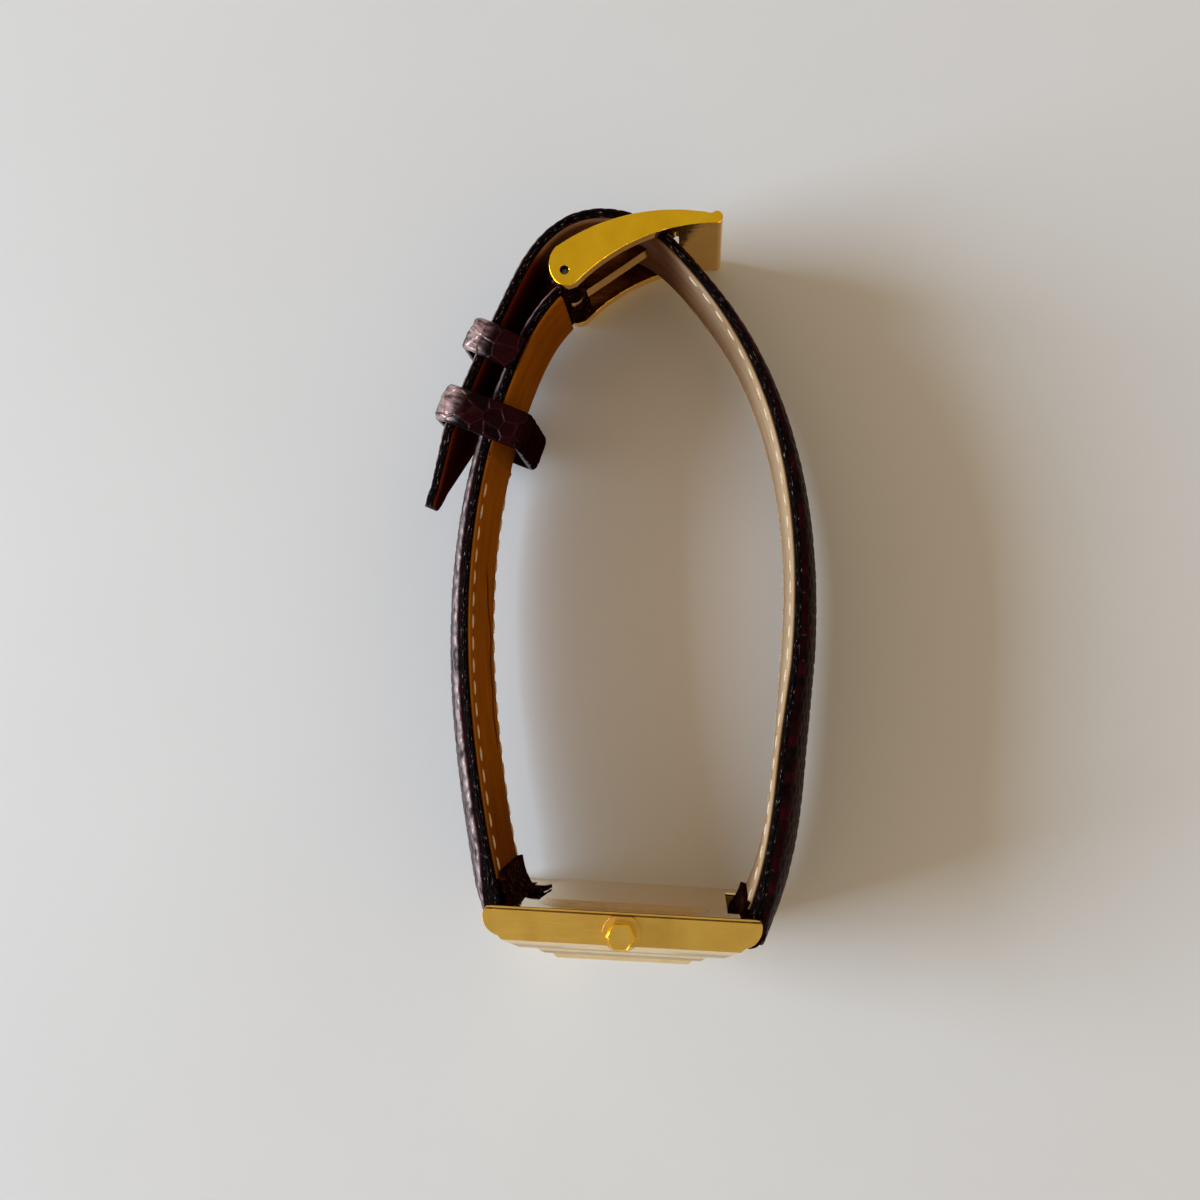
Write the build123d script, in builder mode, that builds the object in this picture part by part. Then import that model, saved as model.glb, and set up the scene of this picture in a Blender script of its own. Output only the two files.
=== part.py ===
"""Square dress watch on a buckled leather strap, lying on its nine o'clock side.

X runs from twelve to six o'clock, the dial faces -Y, the crown points up (+Z) and
the loop of the strap stands towards +Y. The origin is in the middle of the flank
that the watch rests on. Millimetres.
"""
from build123d import *
import math
import os

os.makedirs("parts", exist_ok=True)

# Case
case_length = 28.2  # over the lug ends, twelve to six
case_width = 25.0  # three to nine, the height of the watch as it lies
flank_height = 3.4  # back edge to front edge of a flank
lug_cheek = 3.5  # width of each lug, measured along the spring bar
lug_bay = 3.5  # from the lug ends to the wall between the lugs
lug_corner = 0.8  # round of the lug at its back corner
lug_nose = 1.2  # height of the lug end above the front edge
back_plate = 0.4
seam_width = 0.12  # dark line between body and back
seam_depth = 0.15
back_dome = 0.5
back_dome_slope = 1.6
back_margin = 1.2
cavity_length = 19.2
cavity_width = 20.8
cavity_ledge = 0.4
ledge_depth = 1.1  # from the back edge to the gasket ledge
dial_seat = 1.8  # levels count from the middle of a flank towards the dial
step_length = (24.2, 18.2, 14.8)  # outer size of the three steps, twelve to six
step_width = (25.0, 18.8, 14.8)
step_top_length = (20.8, 16.1, 13.6)
step_top_width = (21.2, 16.3, 13.6)
step_rise = (0.95, 0.8, 0.65)
dial_opening = 11.4
crystal_seat = 2.95
overrun = 1.0
running_clearance = 0.04
fit_clearance = 0.02
edge_break = 0.15

# Crystal and its gasket
crystal_size = 12.3
crystal_thickness = 1.05
crystal_gasket_wall = 0.2
crystal_gasket_height = 0.9
back_gasket_height = 0.28
back_gasket_width_share = 0.8  # of the case's ledge
back_rim_clearance = 0.3

# Crown, tube and stem
crown_level = 0.4  # crown axis, in front of the middle of the flank
crown_corners = 3.0  # across the corners of the hexagon
crown_height = 2.55
crown_bevel = 0.16
crown_gap = 0.05
crown_boss = 3.9
crown_boss_height = 0.4
crown_recess = 1.9
crown_recess_depth = 0.9
crown_travel = 1.0
tube_outer = 1.2
tube_bore = 0.96
tube_stand = 0.65
stem_diameter = 0.88
stem_inner_end = 5.0  # distance of the stem's inner end from the middle of the case
stem_groove_width = 0.4
stem_groove_depth = 0.18
stem_groove_place = 7.3
stem_pinion_diameter = 1.6
stem_pinion_width = 0.9
stem_teeth = 12
crown_gasket_ring = 0.26
slide_width = 2.6
slide_depth = 1.1

# Movement, levels in front of the middle of the flank
plate_length = 16.4
plate_width = 17.4
plate_corner = 2.0
plate_back = 0.3
plate_front = 0.9
bridge_back = -0.95
bridge_front = -0.65
dial_thickness = 0.3
gear_module = 0.13
wheel_thickness = 0.15
wheel_gap = 0.05  # a pinion stands this much past the wheel that it drives
hub_gap = 0.03
centre_level = 0.05
third_level = -0.25
third_pinion_height = 0.24
intermediate_level = -0.5
cannon_level = 0.96
hour_level = 1.2
arbor_radius = 0.14
pivot_radius = 0.09
tooth_rise_share = 0.62  # tooth parts, shares of the module
tooth_drop_share = 1.05
tooth_foot_share = 0.78
tooth_tip_share = 0.28
centre_teeth = 48
third_pinion_teeth = 8
third_teeth = 40
intermediate_pinion_teeth = 8
intermediate_teeth = 24
rotor_pinion_teeth = 8
cannon_teeth = 10
minute_teeth = 30
minute_pinion_teeth = 8
hour_teeth = 32
third_bearing = 150.0  # directions from one arbor to the next, degrees
intermediate_bearing = 255.0
rotor_bearing = 260.0
minute_bearing = 45.0
rotor_radius = 0.6
rotor_top_gap = 0.15
rotor_side_gap = 0.15
cannon_radius = 0.4
hour_tube_wall = 0.18
battery_diameter = 6.8
battery_height = 1.65
battery_across_share = 0.2805  # places on the plate are shares of its length and width
battery_up_share = -0.2759
clamp_thickness = 0.12
clamp_width_shares = (-0.15, -0.0805)
clamp_arm_shares = (0.4024, 0.4878)
clamp_reach = 0.6  # how far the clamp stands over the middle of the battery
coil_length = 5.2
coil_radius = 0.58
coil_core_side = 0.5
coil_across_share = -0.2317
coil_up_share = -0.4253
stator_arm = 1.0
stator_gap = 0.06
stator_thickness = 0.2
pillar_radius = 0.7
pillar_room = 0.1
pillar_shares = ((-0.4268, 0.3218), (-0.4451, -0.0575), (0.1463, 0.2874))
clamp_screw_shares = (0.4451, -0.0345)
stator_screw_shares = (0.0549, -0.4425)
bridge_shares = ((-0.488, 0.379), (-0.488, -0.31), (-0.195, -0.31), (0.049, -0.092),
                 (0.085, 0.149), (0.195, 0.241), (0.195, 0.345), (0.079, 0.345), (0.0, 0.241),
                 (-0.244, 0.282), (-0.341, 0.379))
board_thickness = 0.2
board_left_share = 0.2195
board_right_share = 0.4878
board_low_share = 0.023
board_high_share = 0.4253
chip_side = 1.8
chip_height = 0.4
chip_place_shares = (0.3049, 0.1322)
quartz_radius = 0.5
quartz_length = 4.2
quartz_place_shares = (0.4329, 0.1724)
holder_ledge = 0.8
holder_gap = 0.05
screw_head_radius = 0.55
screw_head_height = 0.18
screw_shank_radius = 0.28
hand_angle_hour = 304.5
hand_angle_minute = 54.0
hour_hand_length = 3.1
minute_hand_length = 4.5
hand_thickness = 0.12
hour_hub_rim = 0.2
marker_count = 12
hour_hand_level = 2.1
minute_hand_level = 2.4
baton_length = 1.3
baton_width = 0.3
baton_height = 0.14
baton_radius = 4.55

# Spring bars
bar_inset = 1.3  # spring bar from the lug ends
bar_level = 0.3
bar_sleeve_radius = 0.75
bar_sleeve_bore = 0.5
bar_end_wall = 0.4
bar_pin_radius = 0.36
bar_pin_head = 1.5
bar_pin_reach = 0.9  # how far a tip stands into its hole
bar_hole_depth = 1.1
bar_side_gap = 0.15
bar_pin_travel = 0.8

# Strap
strap_width = 17.7  # at the lugs
strap_buckle_width = 15.6
strap_thick_12 = 3.3  # lining and padding together, at the lugs
strap_thick_6 = 3.5
strap_thin = 1.8  # at the buckle and in the tail
strap_edge = 1.15
lining_thickness = 0.5
lining_start = 4.6
knuckle_12_radius = 1.45
knuckle_6_radius = 1.85
knuckle_6_out = 0.1
knuckle_6_back = 0.25
fold_rise = 1.3  # how much thicker the cut edge gets at the lug, where the leather is folded
fold_length = 8.0
nose_drop_12 = 0.7  # how much the padding loses at the lug
nose_drop_6 = 0.05
nose_length = 4.0
twist_12_angle = 1.5  # turn of the strap about its own line
twist_6_angle = -2.3
twist_12_share = 1.0
twist_6_share = 0.24
loop_width = 32.7  # at the buckle; lower down the loop follows the spring bars
loop_lug_share = 1.27734
loop_follow_share = 0.6
loop_height = 73.3
side_drop = 2.5  # the loop leans down until the buckle rests beside the flank
buckle_across_share = -0.30428
buckle_up_share = 0.91405
wrap_radius = 1.75
wrap_clearance = 0.1
tip_length = 8.0
tip_round = 2.2
lining_end_gap = 3.6
tang_slot_width = 3.6
route_12_shares = ((-0.354, -0.006), (-0.399, 0.06), (-0.449, 0.154), (-0.506, 0.297),
                   (-0.535, 0.47), (-0.509, 0.634), (-0.426, 0.782), (-0.345, 0.86),
                   (-0.262, 0.904))
route_6_shares = ((0.354, -0.006), (0.408, 0.065), (0.459, 0.273), (0.4725, 0.4),
                  (0.4255, 0.636), (0.2705, 0.8185), (0.064, 0.9365), (-0.1, 0.988),
                  (-0.2705, 0.987), (-0.37, 0.952), (-0.45, 0.885), (-0.535, 0.79),
                  (-0.62, 0.686), (-0.709, 0.576))
narrow_12_share = 0.7
narrow_6_share = 0.62
thin_12_share = 1.0
thin_6_share = 0.6
nose_station_count = 5
station_12_count = 24
station_6_count = 48

# Keepers
keeper_wall = 0.8
keeper_gap = 0.12
fixed_keeper_band = 3.7
fixed_keeper_across_share = -0.51682
fixed_keeper_up_share = 0.80968
fixed_keeper_height = 6.2
fixed_keeper_angle = 246.0
sliding_keeper_band = 4.0
sliding_keeper_across_share = -0.52294
sliding_keeper_up_share = 0.70191
sliding_keeper_height = 11.0
sliding_keeper_angle = 251.5
keeper_corner = 0.9

# Buckle
buckle_width = 20.0
buckle_length = 16.0  # from the bar to the end of the plate
ear_thickness = 2.0
end_plate_share = 0.72  # where the end plate begins, share of the buckle's length
buckle_pin_hole = 0.45
buckle_round = 0.35
ear_heel_radius = 1.6
ear_lower_shares = ((0.08, -0.075), (0.447, 0.216), (0.959, 0.359))
ear_upper_shares = ((0.934, 0.422), (0.422, 0.388), (-0.066, 0.144))
ear_tip_shares = (1.0, 0.378)
ear_heel_shares = ((-0.102, 0.03), (-0.06, -0.07), (0.005, -0.1))
tang_width = 3.0
tang_knuckle = 1.35
tang_lower_shares = ((0.11, 0.0), (0.42, 0.235), (0.69, 0.448))
tang_lip_shares = ((0.93, 0.452), (0.94, 0.5), (0.74, 0.515))
tang_upper_shares = ((0.40, 0.31), (0.0, 0.0845))
tang_slot_rise = 3.4
tang_slot_start = 4.6
tang_slot_length = 9.0
tang_slot_angle = 29.0
tang_slot_low = -0.75

mid_height = case_width / 2
back_level = -flank_height / 2
front_level = flank_height / 2
lug_reach = case_length / 2
wall_reach = lug_reach - lug_bay
lug_gap = case_width - 2 * lug_cheek
seam_level = back_level + back_plate
ledge_level = back_level + ledge_depth
step_levels = (front_level, front_level + step_rise[0] + fit_clearance,
               front_level + step_rise[0] + step_rise[1])
front_rim = step_levels[2] + step_rise[2]
loop_middle = mid_height - side_drop
bar_reach = lug_reach - bar_inset
buckle_across = buckle_across_share * loop_width
buckle_up = buckle_up_share * loop_height


def face_plane(level, across=0.0, up=0.0):
    """Plane parallel to the dial, seen from the front, at a level in front of the flanks' middle."""
    return Plane(origin=(across, -level, mid_height + up), x_dir=(1, 0, 0), z_dir=(0, -1, 0))


def slab(low, high, length, width, mode=Mode.ADD, corner=0.0):
    """Rectangular block between two levels, centred on the dial's axis."""
    with BuildSketch(face_plane(low)) as profile:
        if corner:
            RectangleRounded(length, width, corner)
        else:
            Rectangle(length, width)
    extrude(profile.sketch, amount=high - low, mode=mode)


def disc(low, high, radius, across=0.0, up=0.0, mode=Mode.ADD):
    """Round block between two levels."""
    with BuildSketch(face_plane(low, across, up)) as profile:
        Circle(radius)
    extrude(profile.sketch, amount=high - low, mode=mode)


def block(low, high, left, right, bottom, top, mode=Mode.ADD):
    """Block between two levels and four sides, measured from the dial's axis."""
    with BuildSketch(face_plane(low, (left + right) / 2, (bottom + top) / 2)) as profile:
        Rectangle(right - left, top - bottom)
    extrude(profile.sketch, amount=high - low, mode=mode)


def upright(low, high, radius, x, y, mode=Mode.ADD):
    """Round bar along Z between two heights."""
    with BuildSketch(Plane(origin=(x, y, low))) as profile:
        Circle(radius)
    extrude(profile.sketch, amount=high - low, mode=mode)


def finish(part, name):
    """Give a finished piece its name and write it."""
    part.label = name
    export_step(part, f"parts/{name}.step")
    print(name, round(part.volume, 4), len(part.solids()))


# Case body, case back and their outline


def flank_outline():
    """Outline of a flank with both lug ends, as a sketch."""
    with BuildSketch(Plane.XY) as outline:
        with BuildLine():
            back = Line((0, -back_level), (lug_reach - lug_corner, -back_level))
            corner = TangentArc(back @ 1, (lug_reach, -back_level - lug_corner), tangent=back % 1)
            end = (step_length[0] / 2 + lug_corner / 2, -front_level + lug_nose / 3)
            middle = (lug_reach - lug_corner / 2, -front_level + lug_nose)
            nose = ThreePointArc(corner @ 1, middle, end)
            toe = Line(nose @ 1, (step_length[0] / 2, -front_level))
            Line(toe @ 1, (0, -front_level))
            mirror(about=Plane.YZ)
        make_face()
    return outline.sketch


def lug_bays(low, high):
    """Cut the two bays that take the ends of the strap."""
    bay_middle = (wall_reach + lug_reach + overrun) / 2
    with BuildSketch(face_plane(low)) as bays:
        with Locations((bay_middle, 0), (-bay_middle, 0)):
            Rectangle(lug_bay + overrun, lug_gap)
    extrude(bays.sketch, amount=high - low, mode=Mode.SUBTRACT)


with BuildPart() as case_body:
    extrude(flank_outline(), amount=case_width)
    split(bisect_by=Plane.XZ.offset(back_level + back_plate), keep=Keep.TOP)
    lug_bays(back_level, front_level)
    for index in range(len(step_length)):
        with BuildSketch(face_plane(step_levels[index])):
            Rectangle(step_length[index], step_width[index])
        with BuildSketch(face_plane(step_levels[index] + step_rise[index])):
            Rectangle(step_top_length[index], step_top_width[index])
        loft()
        if index:
            slab(step_levels[0], step_levels[index], step_length[index], step_width[index])
    # round boss under the crown, flush with the front edge of the flank
    upright(case_width - overrun, case_width + crown_boss_height, crown_boss / 2, 0, -crown_level)
    with BuildSketch(Plane.XY.offset(case_width)):
        with Locations((0, -front_level - crown_boss / 2)):
            Rectangle(2 * crown_boss, crown_boss)
    extrude(amount=crown_boss_height + overrun, mode=Mode.SUBTRACT)
    slab(back_level, ledge_level, cavity_length, cavity_width, Mode.SUBTRACT)
    slab(ledge_level, dial_seat, cavity_length - 2 * cavity_ledge,
         cavity_width - 2 * cavity_ledge, Mode.SUBTRACT)
    slab(dial_seat, front_rim, dial_opening, dial_opening, Mode.SUBTRACT)
    crystal_room = crystal_size + 2 * (crystal_gasket_wall + fit_clearance)
    slab(crystal_seat, front_rim + overrun, crystal_room, crystal_room, Mode.SUBTRACT)
    # the tube's bore through the wall
    upright(mid_height + cavity_width / 2 - cavity_ledge - overrun, case_width + overrun,
            tube_outer / 2 + fit_clearance, 0, -crown_level, Mode.SUBTRACT)
    # blind holes for the tips of the spring bars
    for side in (-1, 1):
        for low in (lug_cheek - bar_hole_depth, case_width - lug_cheek - overrun):
            upright(low, low + bar_hole_depth + overrun, bar_pin_radius + running_clearance,
                    side * bar_reach, -bar_level, Mode.SUBTRACT)
    # groove of the seam
    slab(seam_level - overrun, seam_level, 3 * lug_reach, 2 * case_width, Mode.SUBTRACT)
finish(case_body.part, "case_body")

with BuildPart() as case_back:
    extrude(flank_outline(), amount=case_width)
    split(bisect_by=Plane.XZ.offset(back_level + back_plate - seam_width), keep=Keep.BOTTOM)
    slab(seam_level - seam_width, seam_level, 2 * (lug_reach - lug_corner - seam_depth),
         case_width - 2 * seam_depth)
    lug_bays(back_level - overrun, seam_level + overrun)
    with BuildSketch(face_plane(back_level)):
        RectangleRounded(cavity_length - back_margin, cavity_width - back_margin, plate_corner)
    with BuildSketch(face_plane(back_level - back_dome)):
        RectangleRounded(cavity_length - back_margin - back_dome_slope,
                         cavity_width - back_margin - back_dome_slope, plate_corner)
    loft()
    slab(seam_level, ledge_level - back_rim_clearance, cavity_length - 2 * fit_clearance,
         cavity_width - 2 * fit_clearance)
    slab(seam_level, ledge_level, cavity_length - 2 * cavity_ledge, cavity_width - 2 * cavity_ledge,
         Mode.SUBTRACT)
finish(case_back.part, "case_back")

# Crystal, gaskets, crown, tube and stem

with BuildPart() as back_gasket:
    gasket_length = cavity_length - 2 * fit_clearance
    gasket_width = cavity_width - 2 * fit_clearance
    gasket_room = 2 * back_gasket_width_share * cavity_ledge
    slab(ledge_level - back_gasket_height, ledge_level, gasket_length, gasket_width)
    slab(ledge_level - overrun, ledge_level + overrun, gasket_length - gasket_room,
         gasket_width - gasket_room, Mode.SUBTRACT)
finish(back_gasket.part, "back_gasket")

with BuildPart() as crystal:
    slab(crystal_seat, crystal_seat + crystal_thickness, crystal_size, crystal_size)
    chamfer(crystal.faces().sort_by(Axis.Y)[0].edges(), edge_break)
finish(crystal.part, "crystal")

with BuildPart() as crystal_gasket:
    ring_outer = crystal_size + 2 * crystal_gasket_wall + fit_clearance
    slab(crystal_seat, crystal_seat + crystal_gasket_height, ring_outer, ring_outer)
    slab(crystal_seat - overrun, front_rim, crystal_size + fit_clearance,
         crystal_size + fit_clearance, Mode.SUBTRACT)
finish(crystal_gasket.part, "crystal_gasket")

tube_low = mid_height + cavity_width / 2 - cavity_ledge
crown_low = case_width + crown_boss_height + crown_gap
crown_high = crown_low + crown_height
recess_high = crown_low + crown_recess_depth

with BuildPart() as crown_tube:
    upright(tube_low, case_width + crown_boss_height + tube_stand, tube_outer / 2, 0, -crown_level)
    upright(tube_low - overrun, crown_high, tube_bore / 2, 0, -crown_level, Mode.SUBTRACT)
finish(crown_tube.part, "crown_tube")

with BuildPart() as crown:
    with BuildSketch(Plane(origin=(0, -crown_level, crown_low))):
        RegularPolygon(crown_corners / 2, 6)
    extrude(amount=crown_height)
    chamfer(crown.faces().sort_by(Axis.Z)[-1].edges(), crown_bevel)
    upright(crown_low - overrun, recess_high, crown_recess / 2, 0, -crown_level, Mode.SUBTRACT)
    upright(crown_low, crown_high - overrun / 2, stem_diameter / 2, 0, -crown_level, Mode.SUBTRACT)
finish(crown.part, "crown")

with BuildPart() as crown_gasket:
    gasket_top = recess_high - fit_clearance
    upright(gasket_top - crown_gasket_ring, gasket_top, crown_recess / 2 - fit_clearance, 0,
            -crown_level)
    upright(crown_low, crown_high, tube_outer / 2 + fit_clearance, 0, -crown_level, Mode.SUBTRACT)
finish(crown_gasket.part, "crown_gasket")

stem_low = mid_height + stem_inner_end
groove_low = mid_height + stem_groove_place

with BuildPart() as stem:
    upright(stem_low, crown_high - overrun / 2 - fit_clearance, stem_diameter / 2 - fit_clearance,
            0, -crown_level)
    groove_radius = stem_diameter / 2 - stem_groove_depth
    with BuildSketch(Plane(origin=(0, -crown_level, groove_low))):
        Circle(stem_diameter)
        Circle(groove_radius, mode=Mode.SUBTRACT)
    extrude(amount=stem_groove_width, mode=Mode.SUBTRACT)
    with BuildSketch(Plane(origin=(0, -crown_level, stem_low))):
        Circle(stem_pinion_diameter / 2 - edge_break)
        with PolarLocations(stem_pinion_diameter / 2 - edge_break, stem_teeth):
            Rectangle(2 * edge_break, edge_break)
    extrude(amount=stem_pinion_width)
finish(stem.part, "stem")

with BuildPart() as setting_slide:
    slide_thickness = stem_groove_width - 2 * running_clearance
    with BuildSketch(Plane(origin=(0, -crown_level, groove_low + running_clearance))):
        with Locations((0, slide_depth / 2)):
            Rectangle(slide_width, slide_depth)
        Circle(groove_radius + running_clearance, mode=Mode.SUBTRACT)
        with Locations((0, -overrun)):
            Rectangle(2 * (groove_radius + running_clearance), 2 * overrun, mode=Mode.SUBTRACT)
    extrude(amount=slide_thickness)
finish(setting_slide.part, "setting_slide")

# Spring bars: each a sleeve, two headed tips and a spring between them


def bar_sleeve(x, y, low, high, name):
    """Sleeve of a spring bar between two heights."""
    with BuildPart() as sleeve:
        upright(low, high, bar_sleeve_radius, x, y)
        upright(low + bar_end_wall, high - bar_end_wall, bar_sleeve_bore, x, y, Mode.SUBTRACT)
        upright(low - overrun, high + overrun, bar_pin_radius + running_clearance / 2, x, y,
                Mode.SUBTRACT)
    finish(sleeve.part, name)


def bar_tip(x, y, end, inward, name):
    """Headed tip of a spring bar: `end` is the sleeve's end and `inward` is 1 or -1 along Z."""
    head = end + inward * bar_end_wall
    with BuildPart() as tip:
        upright(end - inward * (bar_side_gap + bar_pin_reach), head + inward * fit_clearance,
                bar_pin_radius, x, y)
        upright(head + inward * fit_clearance, head + inward * bar_pin_head,
                bar_sleeve_bore - running_clearance, x, y)
    finish(tip.part, name)


def bar_spring(x, y, low, high, name):
    """Coil spring of a spring bar, drawn as the tube that its closed turns fill."""
    head = bar_end_wall + bar_pin_head + bar_pin_travel + running_clearance
    with BuildPart() as spring:
        upright(low + head, high - head, bar_sleeve_bore - fit_clearance, x, y)
        upright(low, high, bar_sleeve_bore / 2, x, y, Mode.SUBTRACT)
    finish(spring.part, name)


bar_places = (
    ("lug_bar_12", -bar_reach, -bar_level, lug_cheek + bar_side_gap,
     case_width - lug_cheek - bar_side_gap),
    ("lug_bar_6", bar_reach, -bar_level, lug_cheek + bar_side_gap,
     case_width - lug_cheek - bar_side_gap),
    ("buckle_bar", buckle_across, buckle_up, ear_thickness + bar_side_gap,
     buckle_width - ear_thickness - bar_side_gap),
)
for bar_name, bar_x, bar_y, bar_low, bar_high in bar_places:
    bar_sleeve(bar_x, bar_y, bar_low, bar_high, f"{bar_name}_sleeve")
    bar_tip(bar_x, bar_y, bar_low, 1, f"{bar_name}_lower_tip")
    bar_tip(bar_x, bar_y, bar_high, -1, f"{bar_name}_upper_tip")
    bar_spring(bar_x, bar_y, bar_low, bar_high, f"{bar_name}_spring")

# Strap: both halves follow a route on the lining's wrist side


def loop_width_at(up_share):
    """Width that the route's shares are taken of: it follows the spring bars at the case."""
    followed = max(0, 1 - up_share / loop_follow_share)
    return loop_width + (2 * bar_reach * loop_lug_share - loop_width) * followed


def strap_route(shares):
    """Smooth line of the lining's wrist side, seen from above."""
    with BuildLine() as line:
        Spline(*[(across * loop_width_at(up), up * loop_height) for across, up in shares])
    return line.edges()[0]


def middle_at(up):
    """Height of the strap's middle, which drops towards the buckle."""
    return mid_height - side_drop * min(max(up, 0), buckle_up) / buckle_up


def half_width_at(half, share):
    """Half the strap's width: it narrows from the lugs to the buckle and stays so."""
    narrowed = min(share / half["narrow_share"], 1)
    return (strap_width - (strap_width - strap_buckle_width) * narrowed) / 2


def lug_share(half, share, length):
    """1 at the lug, falling to 0 at this length along the strap."""
    return max(0, 1 - share * half["route"].length / length)


def thickness_at(half, share):
    """Thickness in the strap's middle: padded at the lugs, thin at the buckle."""
    thinned = min(share / half["thin_share"], 1)
    padded = strap_thin + (half["thick"] - strap_thin) * math.cos(math.pi / 2 * thinned)
    return padded - half["nose_drop"] * lug_share(half, share, nose_length)


def edge_at(half, share):
    """Thickness of the strap's cut edge, with the fold at the lug."""
    return strap_edge + fold_rise * lug_share(half, share, fold_length)


def station_plane(half, share):
    """Plane across the strap, its x away from the wrist."""
    place = half["route"] @ share
    along = half["route"] % share
    out = Vector(along.Y, -along.X, 0) * half["outward"]
    turned = half["twist"] * math.sin(math.pi * min(share / half["twist_share"], 1))
    return Plane(origin=(place.X, place.Y, middle_at(place.Y)),
                 x_dir=out - Vector(0, 0, math.tan(math.radians(turned))), z_dir=along)


def leather_section(half, share):
    """Domed section of the leather, from the lining's back to the padding's crown."""
    half_width = half_width_at(half, share)
    edge = edge_at(half, share)
    with BuildSketch(station_plane(half, share)) as section:
        with BuildLine():
            dome = EllipticalCenterArc((edge, 0), thickness_at(half, share) - edge, half_width,
                                       start_angle=-90, arc_size=180)
            Polyline(dome @ 1, (lining_thickness, half_width), (lining_thickness, -half_width),
                     dome @ 0)
        make_face()
    return section.sketch


def lining_section(half, share):
    """Flat section of the lining."""
    with BuildSketch(station_plane(half, share)) as section:
        with Locations((lining_thickness / 2, 0)):
            Rectangle(lining_thickness, 2 * half_width_at(half, share))
    return section.sketch


def stations(first, last, count):
    """Evenly spaced shares of a route."""
    return [first + (last - first) * index / count for index in range(count + 1)]


def lug_stations(route):
    """Shares between the lug and the start of the lining."""
    return stations(0, lining_start / route.length, nose_station_count)[:-1]


twelve_half = {"route": strap_route(route_12_shares), "outward": -1, "thick": strap_thick_12,
               "narrow_share": narrow_12_share, "thin_share": thin_12_share,
               "nose_drop": nose_drop_12, "twist": twist_12_angle, "twist_share": twist_12_share}
six_half = {"route": strap_route(route_6_shares), "outward": 1, "thick": strap_thick_6,
            "narrow_share": narrow_6_share, "thin_share": thin_6_share,
            "nose_drop": nose_drop_6, "twist": twist_6_angle, "twist_share": twist_6_share}
route_12 = twelve_half["route"]
route_6 = six_half["route"]
lining_12_shares = stations(lining_start / route_12.length, 1 - lining_end_gap / route_12.length,
                            station_12_count)
lining_6_shares = stations(lining_start / route_6.length, 1, station_6_count)


def lug_knuckle(x, y, radius):
    """End of a strap half round its spring bar, pressed against the case."""
    half_width = strap_width / 2 - wrap_clearance
    upright(mid_height - half_width, mid_height + half_width, radius, x, y)


def lug_relief(side):
    """Cut the spring bar's hole and the room of the case's front step from a strap end."""
    upright(0, case_width, bar_sleeve_radius + wrap_clearance, side * bar_reach, -bar_level,
            Mode.SUBTRACT)
    step_room = step_length[0] / 2 + 2 * wrap_clearance
    wall_room = wall_reach + wrap_clearance
    block(front_level - 2 * wrap_clearance, front_rim, min(0, side * step_room),
          max(0, side * step_room), -mid_height, mid_height, Mode.SUBTRACT)
    block(back_level - overrun, front_rim, min(0, side * wall_room), max(0, side * wall_room),
          -mid_height, mid_height, Mode.SUBTRACT)


with BuildPart() as strap_12_leather:
    loft([leather_section(twelve_half, share)
          for share in lug_stations(route_12) + lining_12_shares + [1]], ruled=True)
    lug_knuckle(-bar_reach, -bar_level, knuckle_12_radius)
    upright(loop_middle - strap_buckle_width / 2, loop_middle + strap_buckle_width / 2, wrap_radius,
            buckle_across, buckle_up)
    lug_relief(-1)
    upright(0, case_width, bar_sleeve_radius + wrap_clearance, buckle_across, buckle_up,
            Mode.SUBTRACT)
    # slot for the tang's knuckle
    with BuildSketch(Plane(origin=(buckle_across, buckle_up, loop_middle - tang_slot_width / 2))):
        with Locations((overrun, overrun)):
            Rectangle(2 * wrap_radius + 2 * overrun, 2 * wrap_radius + 2 * overrun)
    extrude(amount=tang_slot_width, mode=Mode.SUBTRACT)
finish(strap_12_leather.part, "strap_12_leather")

with BuildPart() as strap_12_lining:
    loft([lining_section(twelve_half, share) for share in lining_12_shares], ruled=True)
finish(strap_12_lining.part, "strap_12_lining")

tip_place = route_6 @ 1
tip_along = route_6 % 1
tip_out = Vector(-tip_along.Y, tip_along.X, 0) * -1


def tail_point():
    """Cut the tail to a rounded point."""
    tip_middle = middle_at(tip_place.Y)
    half_width = strap_buckle_width / 2
    plane = Plane(origin=(tip_place.X, tip_place.Y, tip_middle), x_dir=tip_along,
                  z_dir=tip_out)
    with BuildSketch(plane) as waste:
        with BuildLine():
            nose = ThreePointArc((-tip_round, tip_round), (0, 0), (-tip_round, -tip_round))
            Polyline(nose @ 0, (-tip_length, half_width + overrun), (overrun, half_width + overrun),
                     (overrun, -half_width - overrun), (-tip_length, -half_width - overrun),
                     nose @ 1)
        make_face()
    extrude(waste.sketch, amount=strap_thick_6, both=True, mode=Mode.SUBTRACT)


def tang_slot():
    """Cut the hole that the tang passes through, with room for its swing."""
    plane = Plane(origin=(buckle_across, buckle_up, loop_middle - tang_width / 2 - wrap_clearance))
    with BuildSketch(plane.rotated((0, 0, tang_slot_angle))) as slot:
        with Locations((tang_slot_start + tang_slot_length / 2, tang_slot_low + tang_slot_rise / 2)):
            Rectangle(tang_slot_length, tang_slot_rise)
    extrude(slot.sketch, amount=tang_width + 2 * wrap_clearance, mode=Mode.SUBTRACT)


with BuildPart() as strap_6_leather:
    loft([leather_section(six_half, share) for share in lug_stations(route_6) + lining_6_shares],
         ruled=True)
    lug_knuckle(bar_reach + knuckle_6_out, knuckle_6_back - bar_level, knuckle_6_radius)
    lug_relief(1)
    tail_point()
    tang_slot()
finish(strap_6_leather.part, "strap_6_leather")

with BuildPart() as strap_6_lining:
    loft([lining_section(six_half, share) for share in lining_6_shares], ruled=True)
    tail_point()
    tang_slot()
finish(strap_6_lining.part, "strap_6_lining")

# Keepers


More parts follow.
